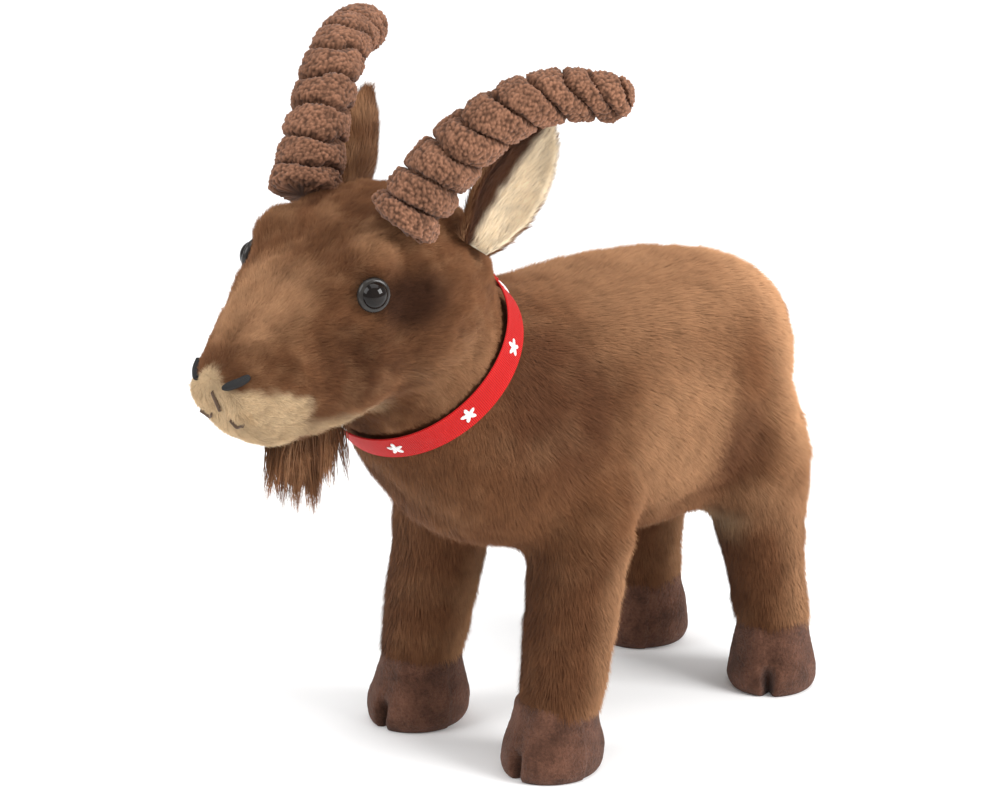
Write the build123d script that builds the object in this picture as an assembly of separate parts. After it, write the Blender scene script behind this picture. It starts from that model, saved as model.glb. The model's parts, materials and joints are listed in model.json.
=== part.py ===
from build123d import *

import os
from math import cos, hypot, radians, sin

# Standing plush alpine ibex: stuffed cloth shells, ridged horns, cupped ears, safety eyes, ribbon collar.
#
# Working frame while modelling, in millimetres: +X is the animal's left, +Y its rear, +Z up, floor at Z 0.
# Every piece is moved at the end so that the origin lies under the centre of the bounding box.

# ---------------------------------------------------------------- driving dimensions
PLUSH = 2.2                # thickness of the plush cloth of body, head and legs
VELOUR = 1.4               # thickness of the short-pile cloth of hooves and ear linings
GAP = 0.4                  # running clearance round a piece that flexes at its seam
BIG = 400.0                # side of the boxes that stand for half-spaces

NECK_CENTRE = (-27.5, 145.0)   # (y, z) of the middle of the collar
NECK_TILT = 48.0               # the neck axis rises this many degrees towards the head
NECK_RADIUS = 34.6
NECK_HALF = 6.6                # half the length of neck that the collar lies on

# Stations of the torso: top (y, z), bottom (y, z), half width
TORSO = [
    ((136.5, 111.0), (136.5, 96.0), 8.0),
    ((133.5, 125.0), (133.5, 85.0), 19.0),
    ((125.0, 136.5), (125.0, 76.0), 28.5),
    ((112.0, 145.0), (112.0, 69.0), 36.0),
    ((92.0, 151.5), (92.0, 65.5), 41.0),
    ((66.0, 156.0), (66.0, 65.5), 42.5),
    ((40.0, 157.5), (38.0, 68.0), 42.0),
    ((20.0, 158.5), (8.0, 71.5), 41.5),
    ((9.0, 161.5), (-22.0, 83.0), 40.0),
]
TORSO_NECK_RADIUS = 37.0       # where the torso cloth meets the neck strip

SKULL_CENTRE = (-48.0, 170.5)      # (y, z)
SKULL_RADII = (36.0, 42.0, 35.5)
SKULL_PITCH = 14.0                 # the skull's long axis sinks towards the nose

# Stations of the muzzle, from inside the skull to the lips
MUZZLE = [
    ((-50.0, 201.0), (-56.0, 140.0), 32.0),
    ((-72.0, 201.5), (-75.0, 136.0), 31.5),
    ((-89.0, 190.5), (-86.0, 134.0), 26.5),
    ((-104.0, 178.5), (-95.0, 132.5), 21.0),
    ((-114.5, 169.5), (-103.0, 133.5), 17.0),
    ((-121.0, 162.0), (-111.0, 139.5), 12.0),
]
THROAT_LENGTH = 30.0           # how far the neck tube reaches up to the head's cloth

# Legs: name, side (+1 left), y at the top, y at the ankle, x at the ankle, toe turned outwards (degrees)
LEGS = [
    ("front_left", 1, 24.0, 4.0, 32.0, 0.0),
    ("front_right", -1, 12.0, 3.0, 32.0, 0.0),
    ("rear_left", 1, 109.0, 110.0, 29.5, 38.0),
    ("rear_right", -1, 109.0, 110.0, 29.5, 38.0),
]
LEG_TOP_X = 24.0
ANKLE_HEIGHT = 22.0
# (height, half width across, half width fore and aft) from the top down
FRONT_LEG = [(100.0, 17.0, 22.0), (78.0, 18.0, 19.5), (58.0, 16.5, 17.0), (38.0, 16.0, 16.5),
             (ANKLE_HEIGHT, 15.2, 15.6)]
REAR_LEG = [(104.0, 18.0, 24.0), (80.0, 18.5, 22.0), (62.0, 16.0, 17.0), (42.0, 14.6, 15.2),
            (ANKLE_HEIGHT, 14.0, 14.4)]
FRONT_HOOF = (15.6, 18.0, 2.0)     # half width, half length, toe forward of the ankle
REAR_HOOF = (14.4, 16.0, 1.0)
SOLE = 1.5
SOLE_SHARE = 0.90                  # the sole's outline against the hoof's widest
CLEFT_WIDTH, CLEFT_DEPTH = 3.4, 7.5

EYE_AT = (27.8, -75.0, 184.5)      # centre of the left eye's flat back
EYE_OUT = (0.93, -0.32, 0.18)      # the way the left eye looks
EYE_RADIUS, EYE_RISE = 5.8, 4.6
POST_RADIUS, POST_LENGTH = 2.0, 9.0
WASHER_RADIUS, WASHER_THICKNESS = 7.0, 1.4

HORN_FOOT = (24.8, -54.2, 200.6)   # pivot in the seam of the left horn
HORN_YAW = 27.5                    # degrees that the horn's plane turns outwards from the rear
HORN_BEND_RADIUS = 51.8            # of the horn's arc, measured level
HORN_RISE = 0.90                   # the arc's height against its length: a slightly flattened bow
HORN_START, HORN_END = 174.0, 62.0     # arc angles, from the foot to the tip
HORN_BASE_RADIUS, HORN_TIP_RADIUS = 11.0, 6.6
HORN_RIDGES = 9
RIDGE_DEPTH = 1.7
HORN_COVER = 1.8
HORN_BALL = 9.6                    # the closed, rounded foot of the horn
SOCKET_FLARE, SOCKET_MOUTH = 3.2, 8.0  # how much the socket widens, and over what height

EAR_FOOT = (28.0, -32.0, 190.0)
EAR_ALONG = (0.175, 0.59, 0.787)
EAR_LENGTH, EAR_HALF_WIDTH, EAR_CUP_RADIUS = 47.0, 12.2, 14.0
EAR_ROLL = 2.6                     # radius of the rolled seam at the ear's foot
EAR_ROLL_LENGTH = 13.0
EAR_STEM, EAR_STEM_WIDTH = 1.5, 9.0  # thin neck of plush that joins the seam to the ear

BEARD_FROM, BEARD_TO = (-93.0, 130.5), (-65.5, 132.3)   # ends of the seam it hangs from (y, z)
BEARD_ROLL, BEARD_LENGTH = 1.8, 27.0

RIBBON_WIDTH, RIBBON_THICKNESS = 10.0, 0.6
RIBBON_LAP = 30.0                  # degrees of the ring where the ribbon's ends lie on each other
FLOWERS, FLOWER_PETALS = 8, 5
PETAL_RADIUS, PETAL_OUT, FLOWER_THICKNESS = 1.15, 1.75, 0.25

TAIL_FOOT = (0.0, 136.0, 127.0)
TAIL_ROLL, TAIL_HALF_WIDTH = 4.2, 9.0

THREAD = 0.8                       # how far embroidery stands on the cloth


# ---------------------------------------------------------------- helpers
def oval(top, bottom, half_width, inset=0.0):
    """An elliptical face across the animal between two points (y, z) of its outline."""
    dy, dz = top[0] - bottom[0], top[1] - bottom[1]
    half_height = hypot(dy, dz) / 2
    plane = Plane(origin=(0, (top[0] + bottom[0]) / 2, (top[1] + bottom[1]) / 2),
                  x_dir=(1, 0, 0), z_dir=(0, -dz, dy))
    return plane * Ellipse(half_width - inset, half_height - inset)


def ring_plane(along=0.0):
    """The collar's plane, moved along the neck axis towards the head."""
    y, z = NECK_CENTRE
    tilt = radians(NECK_TILT)
    return Plane(origin=(0, y - along * cos(tilt), z + along * sin(tilt)),
                 x_dir=(1, 0, 0), z_dir=(0, -cos(tilt), sin(tilt)))


def beyond(plane):
    """The half-space on the plane's z side."""
    return plane * Box(BIG, BIG, BIG, align=(Align.CENTER, Align.CENTER, Align.MIN))


def moved_in(station, next_station, inset):
    """An end station drawn back towards its neighbour, so that a shell has a wall there too."""
    top, bottom, half_width = station
    y0, z0 = (top[0] + bottom[0]) / 2, (top[1] + bottom[1]) / 2
    y1 = (next_station[0][0] + next_station[1][0]) / 2
    z1 = (next_station[0][1] + next_station[1][1]) / 2
    reach = hypot(y1 - y0, z1 - z0)
    dy, dz = (y1 - y0) / reach * inset, (z1 - z0) / reach * inset
    return (top[0] + dy, top[1] + dz), (bottom[0] + dy, bottom[1] + dz), half_width


def torso_solid(inset=0.0):
    rump = moved_in(TORSO[0], TORSO[1], inset)
    collar_end = ring_plane(-NECK_HALF) * Circle(TORSO_NECK_RADIUS - inset)
    return loft([oval(*station, inset) for station in [rump] + TORSO[1:]] + [collar_end])


def head_solid(inset=0.0):
    """A round skull with the muzzle growing out of it."""
    radii = [radius - inset for radius in SKULL_RADII]
    skull = Pos(0, *SKULL_CENTRE) * (Rot(SKULL_PITCH, 0, 0) * scale(Sphere(1), by=tuple(radii)))
    lips = moved_in(MUZZLE[-1], MUZZLE[-2], inset)
    return skull + loft([oval(*station, inset) for station in MUZZLE[:-1] + [lips]])


def neck_solid(inset=0.0):
    """The neck tube from the torso's seam up to where it meets the head."""
    length = 2 * NECK_HALF + THROAT_LENGTH
    tube = Cylinder(NECK_RADIUS - inset, length, align=(Align.CENTER, Align.CENTER, Align.MIN))
    return ring_plane(-NECK_HALF) * tube - head_solid()


def mirrored(shape):
    return mirror(shape, about=Plane.YZ)


def axis_plane(origin, z_dir, x_dir=None):
    return Plane(origin=origin, z_dir=z_dir, x_dir=x_dir) if x_dir else Plane(origin=origin, z_dir=z_dir)


# ---------------------------------------------------------------- torso and neck
def torso_parts():
    skin = torso_solid() - torso_solid(PLUSH)
    gusset_zone = Pos(0, 52, 60) * Box(38, 130, 50)
    belly = skin & gusset_zone
    sides = skin - gusset_zone
    left_half = beyond(Plane(origin=(0, 0, 0), z_dir=(1, 0, 0)))
    right_half = beyond(Plane(origin=(0, 0, 0), z_dir=(-1, 0, 0)))
    root = tail_root(GAP)
    return {
        "torso_left_panel": (sides & left_half) - root,
        "torso_right_panel": (sides & right_half) - root,
        "belly_gusset": belly,
        "torso_stuffing": torso_solid(PLUSH) - root,
        "neck_strip": neck_solid() - neck_solid(PLUSH),
        "neck_stuffing": neck_solid(PLUSH),
    }


# ---------------------------------------------------------------- head
def eye_plane():
    return axis_plane(EYE_AT, EYE_OUT)


def eye_left():
    """A domed safety eye with the post that goes through the cloth."""
    ball_radius = (EYE_RADIUS ** 2 + EYE_RISE ** 2) / (2 * EYE_RISE)
    dome = Pos(0, 0, EYE_RISE - ball_radius) * Sphere(ball_radius)
    dome = dome & (Pos(0, 0, EYE_RISE / 2) * Box(30, 30, EYE_RISE))
    rim = Pos(0, 0, -0.4) * Cylinder(EYE_RADIUS, 0.8)
    post = Pos(0, 0, -POST_LENGTH / 2) * Cylinder(POST_RADIUS, POST_LENGTH)
    return eye_plane() * (dome + rim + post)


def washer_left():
    """The locking washer pushed onto the post inside the head."""
    at = -(PLUSH + 3.6)
    disc = Cylinder(WASHER_RADIUS, WASHER_THICKNESS) - Cylinder(POST_RADIUS, WASHER_THICKNESS)
    return eye_plane() * (Pos(0, 0, at) * disc)


def eye_room():
    """What the eye and its washer take out of the head's cloth and stuffing."""
    at = -(PLUSH + 3.6)
    pocket = eye_plane() * (Pos(0, 0, at) * Cylinder(WASHER_RADIUS, WASHER_THICKNESS))
    return pocket + eye_left()


def head_parts():
    outer, inner = head_solid(), head_solid(PLUSH)
    sockets = horn_socket() + ear_socket()
    room = eye_room()
    taken = sockets + mirrored(sockets) + room + mirrored(room)
    skin = (outer - inner) - taken

    # The pale lip and chin cloth lies below a slanting seam; the chin gusset runs on to the throat.
    lip_seam = axis_plane((0, -108, 157.5), (0, -0.32, -0.95))
    lip_back = axis_plane((0, -95, 150), (0, -0.93, -0.36))
    lips = beyond(lip_seam) & beyond(lip_back)
    chin = Pos(0, -70, 130) * Box(26, 60, 20)
    crown = Pos(0, -62, 200) * Box(20, 150, 100)
    chin_only = chin - lips
    crown_only = crown - lips - chin
    side = skin - lips - chin_only - crown_only
    left_half = beyond(Plane(origin=(0, 0, 0), z_dir=(1, 0, 0)))
    right_half = beyond(Plane(origin=(0, 0, 0), z_dir=(-1, 0, 0)))

    thread = head_solid(-THREAD) - outer
    return {
        "muzzle_patch": skin & lips,
        "chin_gusset": skin & chin_only,
        "head_gusset": skin & crown_only,
        "face_left_panel": side & left_half,
        "face_right_panel": side & right_half,
        "head_stuffing": inner - taken,
        "left_eye": eye_left(),
        "right_eye": mirrored(eye_left()),
        "left_eye_washer": washer_left(),
        "right_eye_washer": mirrored(washer_left()),
        "left_nostril": thread & nostril_zone(),
        "right_nostril": thread & mirrored(nostril_zone()),
        "mouth_embroidery": thread & mouth_zone(),
    }


def nostril_zone():
    """A slanting slot, seen from in front."""
    at = axis_plane((7.5, -118.5, 157.5), (0.5, -1, 0.35), (1, 0.5, 0.0))
    return at * (Rot(0, 0, -30) * extrude(SlotOverall(8.0, 3.4), 6, both=True))


def mouth_zone():
    """The upright line under the nose and the two short curved lip lines."""
    lines = Pos(0, -118, 150.0) * Box(1.3, 24, 8.0)
    for side in (1, -1):
        lip = axis_plane((side * 4.2, -113, 145.4), (side * 0.4, -1, 0), (1, side * 0.4, side * 0.1))
        lines += lip * extrude(SlotOverall(9.0, 1.3), 10, both=True)
    return lines


# ---------------------------------------------------------------- horns
def horn_frame(angle):
    """Plane across the left horn at an arc angle, its z along the horn."""
    yaw, a = radians(HORN_YAW), radians(angle)
    start = radians(HORN_START)
    out = (sin(yaw), cos(yaw))
    reach = HORN_BEND_RADIUS * (cos(a) - cos(start))
    rise = HORN_RISE * HORN_BEND_RADIUS * (sin(a) - sin(start))
    x, y, z = HORN_FOOT
    along = sin(a)
    return Plane(origin=(x + out[0] * reach, y + out[1] * reach, z + rise),
                 x_dir=(cos(yaw), -sin(yaw), 0),
                 z_dir=(out[0] * along, out[1] * along, -HORN_RISE * cos(a)))


def horn_loft(inset, ridge_depth):
    """Crests and grooves in turn along the arc; with no ridge depth, the plain core."""
    faces = []
    steps = 2 * HORN_RIDGES
    for i in range(steps + 1):
        share = i / steps
        angle = HORN_START + (HORN_END - HORN_START) * share
        radius = HORN_BASE_RADIUS + (HORN_TIP_RADIUS - HORN_BASE_RADIUS) * share
        if i % 2 == 0:
            radius -= ridge_depth
        faces.append(horn_frame(angle) * Circle(radius - inset))
    return loft(faces, ruled=True)


def horn_socket():
    """A round cup for the horn's foot with a mouth that opens wide enough for the lowest ridge to lean."""
    cup = HORN_BALL + GAP
    mouth = Cone(cup, cup + SOCKET_FLARE, SOCKET_MOUTH, align=(Align.CENTER, Align.CENTER, Align.MIN))
    return Pos(*HORN_FOOT) * Sphere(cup) + horn_frame(HORN_START) * mouth


def horn_parts():
    ball = Pos(*HORN_FOOT) * Sphere(HORN_BALL)
    inner_ball = Pos(*HORN_FOOT) * Sphere(HORN_BALL - HORN_COVER)
    tip_at = horn_frame(HORN_END)
    tip_radius = HORN_TIP_RADIUS - RIDGE_DEPTH
    tip = tip_at * Sphere(tip_radius)
    outer = horn_loft(0, RIDGE_DEPTH) + ball + tip
    core = horn_loft(HORN_COVER + RIDGE_DEPTH, 0) + inner_ball
    cover = outer - core
    return {
        "left_horn_cover": cover,
        "right_horn_cover": mirrored(cover),
        "left_horn_stuffing": core,
        "right_horn_stuffing": mirrored(core),
    }


# ---------------------------------------------------------------- ears
def ear_frame():
    """Origin at the ear's foot, y along the ear, z out of its lining."""
    along = Vector(*EAR_ALONG).normalized()
    out = Vector(1, 0, 0)
    out = (out - along * out.dot(along)).normalized()
    return Plane(origin=EAR_FOOT, x_dir=along.cross(out), z_dir=out)


def ear_leaf():
    """The ear's outline, a pointed leaf narrowed at its foot, as a prism along the lining's normal."""
    w, n = EAR_HALF_WIDTH, EAR_LENGTH
    right = [(0.55 * w, 0), (0.95 * w, 0.28 * n), (0.92 * w, 0.55 * n), (0.5 * w, 0.86 * n), (0, n)]
    left = [(-x, y) for x, y in reversed(right)]
    edge = Spline(right) + Spline(left) + Line(left[-1], right[0])
    return extrude(make_face(edge), 30, both=True)


def ear_shell(inner_radius, outer_radius):
    """Part of a cup that is curled about the ear's length."""
    cup = Cylinder(outer_radius, 3 * EAR_LENGTH) - Cylinder(inner_radius, 3 * EAR_LENGTH)
    cup = Pos(0, 0, EAR_CUP_RADIUS) * (Rot(90, 0, 0) * cup)
    near_half = Pos(0, 0, 0) * Box(60, 200, 2 * EAR_CUP_RADIUS)
    return (cup & near_half) & ear_leaf()


def ear_roll(grown):
    """The rolled seam at the foot, whose axis is the line that the ear folds about."""
    return ear_frame() * (Rot(0, 90, 0) * Cylinder(EAR_ROLL + grown, EAR_ROLL_LENGTH + 2 * grown))


def ear_socket():
    return ear_roll(GAP)


def ear_parts():
    frame = ear_frame()
    keep = frame * (Pos(0, EAR_ROLL + 0.4 + BIG / 2, 0) * Box(BIG, BIG, BIG))
    back = (frame * ear_shell(EAR_CUP_RADIUS, EAR_CUP_RADIUS + PLUSH)) & keep
    lining = (frame * ear_shell(EAR_CUP_RADIUS - VELOUR, EAR_CUP_RADIUS)) & keep
    roll = ear_roll(0)
    stem_at = Pos(0, EAR_ROLL / 2 + 0.8, -0.1 - EAR_STEM / 2)
    stem = frame * (stem_at * Box(EAR_STEM_WIDTH, EAR_ROLL + 1.6, EAR_STEM))
    back = (back + roll + stem) - lining
    return {
        "left_ear_back": back,
        "right_ear_back": mirrored(back),
        "left_ear_lining": lining,
        "right_ear_lining": mirrored(lining),
    }


# ---------------------------------------------------------------- beard, tail
def beard_part():
    """A flat tuft of long pile hanging from a seam under the chin."""
    (y0, z0), (y1, z1) = BEARD_FROM, BEARD_TO
    length = hypot(y1 - y0, z1 - z0)
    seam = Plane(origin=(0, (y0 + y1) / 2, (z0 + z1) / 2), x_dir=(1, 0, 0), z_dir=(0, y1 - y0, z1 - z0))
    roll = seam * Cylinder(BEARD_ROLL, length)
    mid_y, mid_z = (y0 + y1) / 2, (z0 + z1) / 2
    levels = [(0.0, 1.6, length / 2 - 1), (7.0, 4.2, length / 2 - 1), (16.0, 4.6, 12.5),
              (23.0, 3.6, 9.5), (BEARD_LENGTH, 1.6, 5.5)]
    tuft = loft([Pos(0, mid_y + 0.14 * down, mid_z - down) * Ellipse(half_x, half_y)
                 for down, half_x, half_y in levels])
    return {"beard": roll + tuft}


def tail_root(grown):
    return Pos(*TAIL_FOOT) * (Rot(0, 90, 0) * Cylinder(TAIL_ROLL + grown, 2 * (TAIL_HALF_WIDTH + grown)))


def tail_part():
    """A short flat tail that hangs behind the rump."""
    x, y, z = TAIL_FOOT
    levels = [(0.0, 0.0, 8.0, 4.0), (6.0, 4.0, 8.4, 4.0), (12.0, 5.8, 8.4, 3.8), (20.0, 6.0, 7.4, 3.4),
              (30.0, 5.4, 4.0, 2.0)]
    flap = loft([Pos(x, y + back, z - down) * Ellipse(half_x, half_y)
                 for down, back, half_x, half_y in levels])
    return {"tail": flap + tail_root(0)}


# ---------------------------------------------------------------- collar
def band(inner, outer, width):
    return ring_plane() * (Cylinder(outer, width) - Cylinder(inner, width))


def arc_zone(centre, span):
    """A wedge of the ring about the neck axis, in degrees, at most 180 wide."""
    turn = Rot(0, 0, centre)
    low = Rot(0, 0, -span / 2) * Box(BIG, BIG, BIG, align=(Align.CENTER, Align.MIN, Align.CENTER))
    high = Rot(0, 0, span / 2) * Box(BIG, BIG, BIG, align=(Align.CENTER, Align.MAX, Align.CENTER))
    return ring_plane() * (turn * (low & high))


def collar_parts():
    inner = NECK_RADIUS + GAP
    outer = inner + RIBBON_THICKNESS
    nape = 90.0
    ring = band(inner, outer, RIBBON_WIDTH)
    lap = band(outer, outer + RIBBON_THICKNESS, RIBBON_WIDTH) & arc_zone(nape, RIBBON_LAP)
    stitch_rows = [nape - RIBBON_LAP / 2 + 3.0, nape + RIBBON_LAP / 2 - 3.0]
    stitches = Compound(children=[
        band(outer + RIBBON_THICKNESS, outer + RIBBON_THICKNESS + 0.35, RIBBON_WIDTH - 2.0) & arc_zone(at, 1.2)
        for at in stitch_rows])

    flower = Circle(PETAL_RADIUS)
    for i in range(FLOWER_PETALS):
        a = radians(90 + 360 * i / FLOWER_PETALS)
        flower += Pos(PETAL_OUT * cos(a), PETAL_OUT * sin(a)) * Circle(PETAL_RADIUS)
    prism = extrude(flower, 60)
    film = band(outer, outer + FLOWER_THICKNESS, RIBBON_WIDTH)
    flowers = []
    for i in range(FLOWERS):
        a = radians(nape + 360 * (i + 0.5) / FLOWERS)
        look = Plane(origin=(0, 0, 0), x_dir=(-sin(a), cos(a), 0), z_dir=(cos(a), sin(a), 0))
        flowers.append(film & (ring_plane() * (look * prism)))
    return {
        "collar_ribbon": ring + lap,
        "collar_flowers": Compound(children=flowers),
        "collar_stitches": stitches,
    }


# ---------------------------------------------------------------- legs and hooves
def leg_loft(levels, side, top_y, ankle_y, ankle_x, inset):
    top_z = levels[0][0]
    faces = []
    for height, half_x, half_y in levels:
        share = (top_z - height) / (top_z - ANKLE_HEIGHT)
        x = side * (LEG_TOP_X + (ankle_x - LEG_TOP_X) * share)
        y = top_y + (ankle_y - top_y) * share
        faces.append(Pos(x, y, height) * Ellipse(half_x - inset, half_y - inset))
    return loft(faces)


def hoof_loft(hoof, levels, inset):
    """The rounded hoof in its own frame: toe towards -Y, sole at Z 0."""
    half_x, half_y, forward = hoof
    ankle = levels[-1]
    floor = 0.0 if inset == 0 else SOLE
    faces = [
        Pos(0, -forward, floor) * Ellipse(half_x * SOLE_SHARE - inset, half_y * SOLE_SHARE - inset),
        Pos(0, -forward, 4.5) * Ellipse(half_x - inset, half_y - inset),
        Pos(0, -forward * 0.7, 12.0) * Ellipse(half_x * 0.98 - inset, half_y * 0.93 - inset),
        Pos(0, 0, ANKLE_HEIGHT) * Ellipse(ankle[1] - 1.2 - inset, ankle[2] - 1.2 - inset),
    ]
    return loft(faces)


def cleft(hoof, grown):
    """The notch between the two toes, deepest at the sole."""
    half_x, half_y, forward = hoof
    width = CLEFT_WIDTH + 2 * grown
    tip = -forward - half_y
    notch = Pos(0, tip - 2, 0) * Cylinder(width / 2, 60)
    slot = Pos(0, tip - 2, 0) * Box(width, 2 * (CLEFT_DEPTH + grown), 60)
    lower = Pos(0, tip, -1) * (Rot(-24, 0, 0) * Box(40, 60, 36))
    return (slot + notch) & lower


def leg_parts():
    parts = {}
    torso = torso_solid()
    for name, side, top_y, ankle_y, ankle_x, turned in LEGS:
        front = name.startswith("front")
        levels, hoof = (FRONT_LEG, FRONT_HOOF) if front else (REAR_LEG, REAR_HOOF)
        outer = leg_loft(levels, side, top_y, ankle_y, ankle_x, 0) - torso
        inner = leg_loft(levels, side, top_y, ankle_y, ankle_x, PLUSH) - torso
        place = Pos(side * ankle_x, ankle_y, 0) * Rot(0, 0, side * turned)
        shell = hoof_loft(hoof, levels, 0) - cleft(hoof, 0)
        sole = shell & (Pos(0, 0, SOLE / 2) * Box(80, 80, SOLE))
        pellets = hoof_loft(hoof, levels, VELOUR) - cleft(hoof, VELOUR)
        parts[f"{name}_leg_cover"] = outer - inner
        parts[f"{name}_leg_stuffing"] = inner
        parts[f"{name}_hoof_cover"] = place * ((shell - sole) - pellets)
        parts[f"{name}_hoof_sole"] = place * sole
        parts[f"{name}_hoof_pellets"] = place * pellets
    return parts


# ---------------------------------------------------------------- export
def main():
    parts = {}
    for group in (torso_parts, head_parts, horn_parts, ear_parts, beard_part, tail_part, collar_parts, leg_parts):
        parts.update(group())
    boxes = [shape.bounding_box() for shape in parts.values()]
    low_y, high_y = min(b.min.Y for b in boxes), max(b.max.Y for b in boxes)
    shift = -(low_y + high_y) / 2
    os.makedirs("parts", exist_ok=True)
    for name, shape in parts.items():
        solids = (Pos(0, shift, 0) * shape).solids()
        export_step(solids[0] if len(solids) == 1 else Compound(children=list(solids)), f"parts/{name}.step")
    print(f"moved by {shift:.3f} mm along Y; {len(parts)} nodes")


main()
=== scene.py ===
import json
import math

import bmesh
import bpy
import numpy as np
from mathutils import Matrix, Vector, noise
from mathutils.bvhtree import BVHTree


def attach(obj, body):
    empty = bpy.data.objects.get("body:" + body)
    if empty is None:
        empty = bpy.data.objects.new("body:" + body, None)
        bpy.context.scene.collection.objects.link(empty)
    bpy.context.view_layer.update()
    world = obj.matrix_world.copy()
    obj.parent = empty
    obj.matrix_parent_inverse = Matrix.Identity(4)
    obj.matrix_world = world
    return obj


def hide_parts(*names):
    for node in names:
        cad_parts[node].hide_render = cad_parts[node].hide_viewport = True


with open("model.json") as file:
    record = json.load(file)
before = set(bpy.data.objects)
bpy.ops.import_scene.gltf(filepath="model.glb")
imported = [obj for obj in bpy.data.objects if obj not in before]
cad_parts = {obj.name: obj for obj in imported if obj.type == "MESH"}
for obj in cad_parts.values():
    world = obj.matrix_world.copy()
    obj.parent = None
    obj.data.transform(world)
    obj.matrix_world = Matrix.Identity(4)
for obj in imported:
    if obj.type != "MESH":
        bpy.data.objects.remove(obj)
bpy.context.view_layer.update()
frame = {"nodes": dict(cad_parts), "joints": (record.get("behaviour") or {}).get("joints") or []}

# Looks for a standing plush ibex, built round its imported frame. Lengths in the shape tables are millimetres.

bl_info = {
    "name": "Plush Ibex",
    "version": (1, 0, 0),
    "blender": (4, 5, 0),
    "location": "View3D > Sidebar > Plush Ibex",
    "description": "Dresses the packed parts of a plush ibex in hide, pile, horns, ears, face and collar",
    "category": "Object",
}

JOINTS = {joint["name"]: joint for joint in frame["joints"]}
MM = 0.001
# The shape tables count y from the front hooves; the row frame counts it from the middle of the toy.
NECK_Y, NECK_Z, NECK_TILT = -27.5, 145.0, math.radians(48.0)
SHIFT_Y = JOINTS["collar_turn"]["pos_m"][1] / MM - NECK_Y
LEGS = ("front_left", "front_right", "rear_left", "rear_right")


def metres(points):
    """Points of the shape tables, in metres in the row frame."""
    points = np.asarray(points, float)
    return (points + np.array((0.0, SHIFT_Y, 0.0))) * MM


def table_mm(points):
    """Row-frame points back in the millimetres of the shape tables."""
    return np.asarray(points, float) / MM - np.array((0.0, SHIFT_Y, 0.0))


# ------------------------------------------------------------------ user settings
class IbexShape(bpy.types.PropertyGroup):
    body_pile: bpy.props.FloatProperty(
        name="Body pile", description="Length of the pile on the back and flanks",
        default=0.0058, min=0.001, max=0.02, unit="LENGTH")
    head_pile: bpy.props.FloatProperty(
        name="Head pile", description="Length of the pile on the head",
        default=0.0030, min=0.001, max=0.01, unit="LENGTH")
    leg_pile: bpy.props.FloatProperty(
        name="Leg pile", description="Length of the pile on the legs",
        default=0.0046, min=0.001, max=0.01, unit="LENGTH")
    strand_width: bpy.props.FloatProperty(
        name="Strand width", description="Width of one lock of pile at its root",
        default=0.00026, min=0.0001, max=0.002, unit="LENGTH")
    strands: bpy.props.FloatProperty(
        name="Strands", description="Locks of pile on a square centimetre of the body",
        default=900.0, min=10.0, max=1500.0)
    seed: bpy.props.IntProperty(name="Seed", description="Seed of the pile's scatter", default=7)
    ridge_depth: bpy.props.FloatProperty(
        name="Ridge depth", description="How deep the grooves between the horn's rolls are",
        default=0.0034, min=0.0, max=0.006, unit="LENGTH")
    eye_rim: bpy.props.FloatProperty(
        name="Eye rim", description="Radius of the smoky rim round the eye",
        default=0.0058, min=0.003, max=0.01, unit="LENGTH")


def colour_property(name, description, value):
    return bpy.props.FloatVectorProperty(name=name, description=description, default=value, size=3,
                                         min=0.0, max=1.0, subtype="COLOR_GAMMA")


class IbexColours(bpy.types.PropertyGroup):
    brown: colour_property("Brown", "Main colour of the plush", (0.470, 0.312, 0.205))
    # Dark brown also stands partly for painted shade: on the shoulders and on the front flap of the ear
    # linings.
    dark: colour_property("Dark brown", "Shoulders, thighs and behind the eyes", (0.345, 0.212, 0.138))
    # Tan is also painted light: on the rump and on the legs' side towards the side light, and partly on the
    # back, the flank and the nose bridge.
    tan: colour_property("Tan", "Back, flank and nose bridge", (0.720, 0.545, 0.400))
    cream: colour_property("Cream", "Lips, chin and belly", (0.800, 0.690, 0.545))
    lining: colour_property("Ear lining", "Pile inside the ears", (1.0, 0.93, 0.81))
    horn: colour_property("Horn", "Looped cloth of the horns", (0.500, 0.352, 0.272))
    hoof: colour_property("Hoof", "Suede-like cloth of the hooves", (0.385, 0.262, 0.208))
    ribbon: colour_property("Ribbon", "Grosgrain collar", (0.800, 0.055, 0.045))


def shape():
    return bpy.context.scene.ibex_shape


def linear(name):
    """A named user colour as linear RGB."""
    return np.array([c / 12.92 if c <= 0.04045 else ((c + 0.055) / 1.055) ** 2.4
                     for c in getattr(bpy.context.scene.ibex_colours, name)])


# ------------------------------------------------------------------ shader maths
class Socket:
    """A node socket that builds Math nodes when it is used in an expression."""

    def __init__(self, tree, socket):
        self.tree, self.socket = tree, socket

    def _math(self, operation, *values):
        return self.tree.node("ShaderNodeMath", {"operation": operation}, list(values))

    def __add__(self, other):
        return self._math("ADD", self, other)

    def __radd__(self, other):
        return self._math("ADD", other, self)

    def __sub__(self, other):
        return self._math("SUBTRACT", self, other)

    def __rsub__(self, other):
        return self._math("SUBTRACT", other, self)

    def __mul__(self, other):
        return self._math("MULTIPLY", self, other)

    def __rmul__(self, other):
        return self._math("MULTIPLY", other, self)

    def __pow__(self, other):
        return self._math("POWER", self, other)

    def sine(self):
        return self._math("SINE", self)


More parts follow.
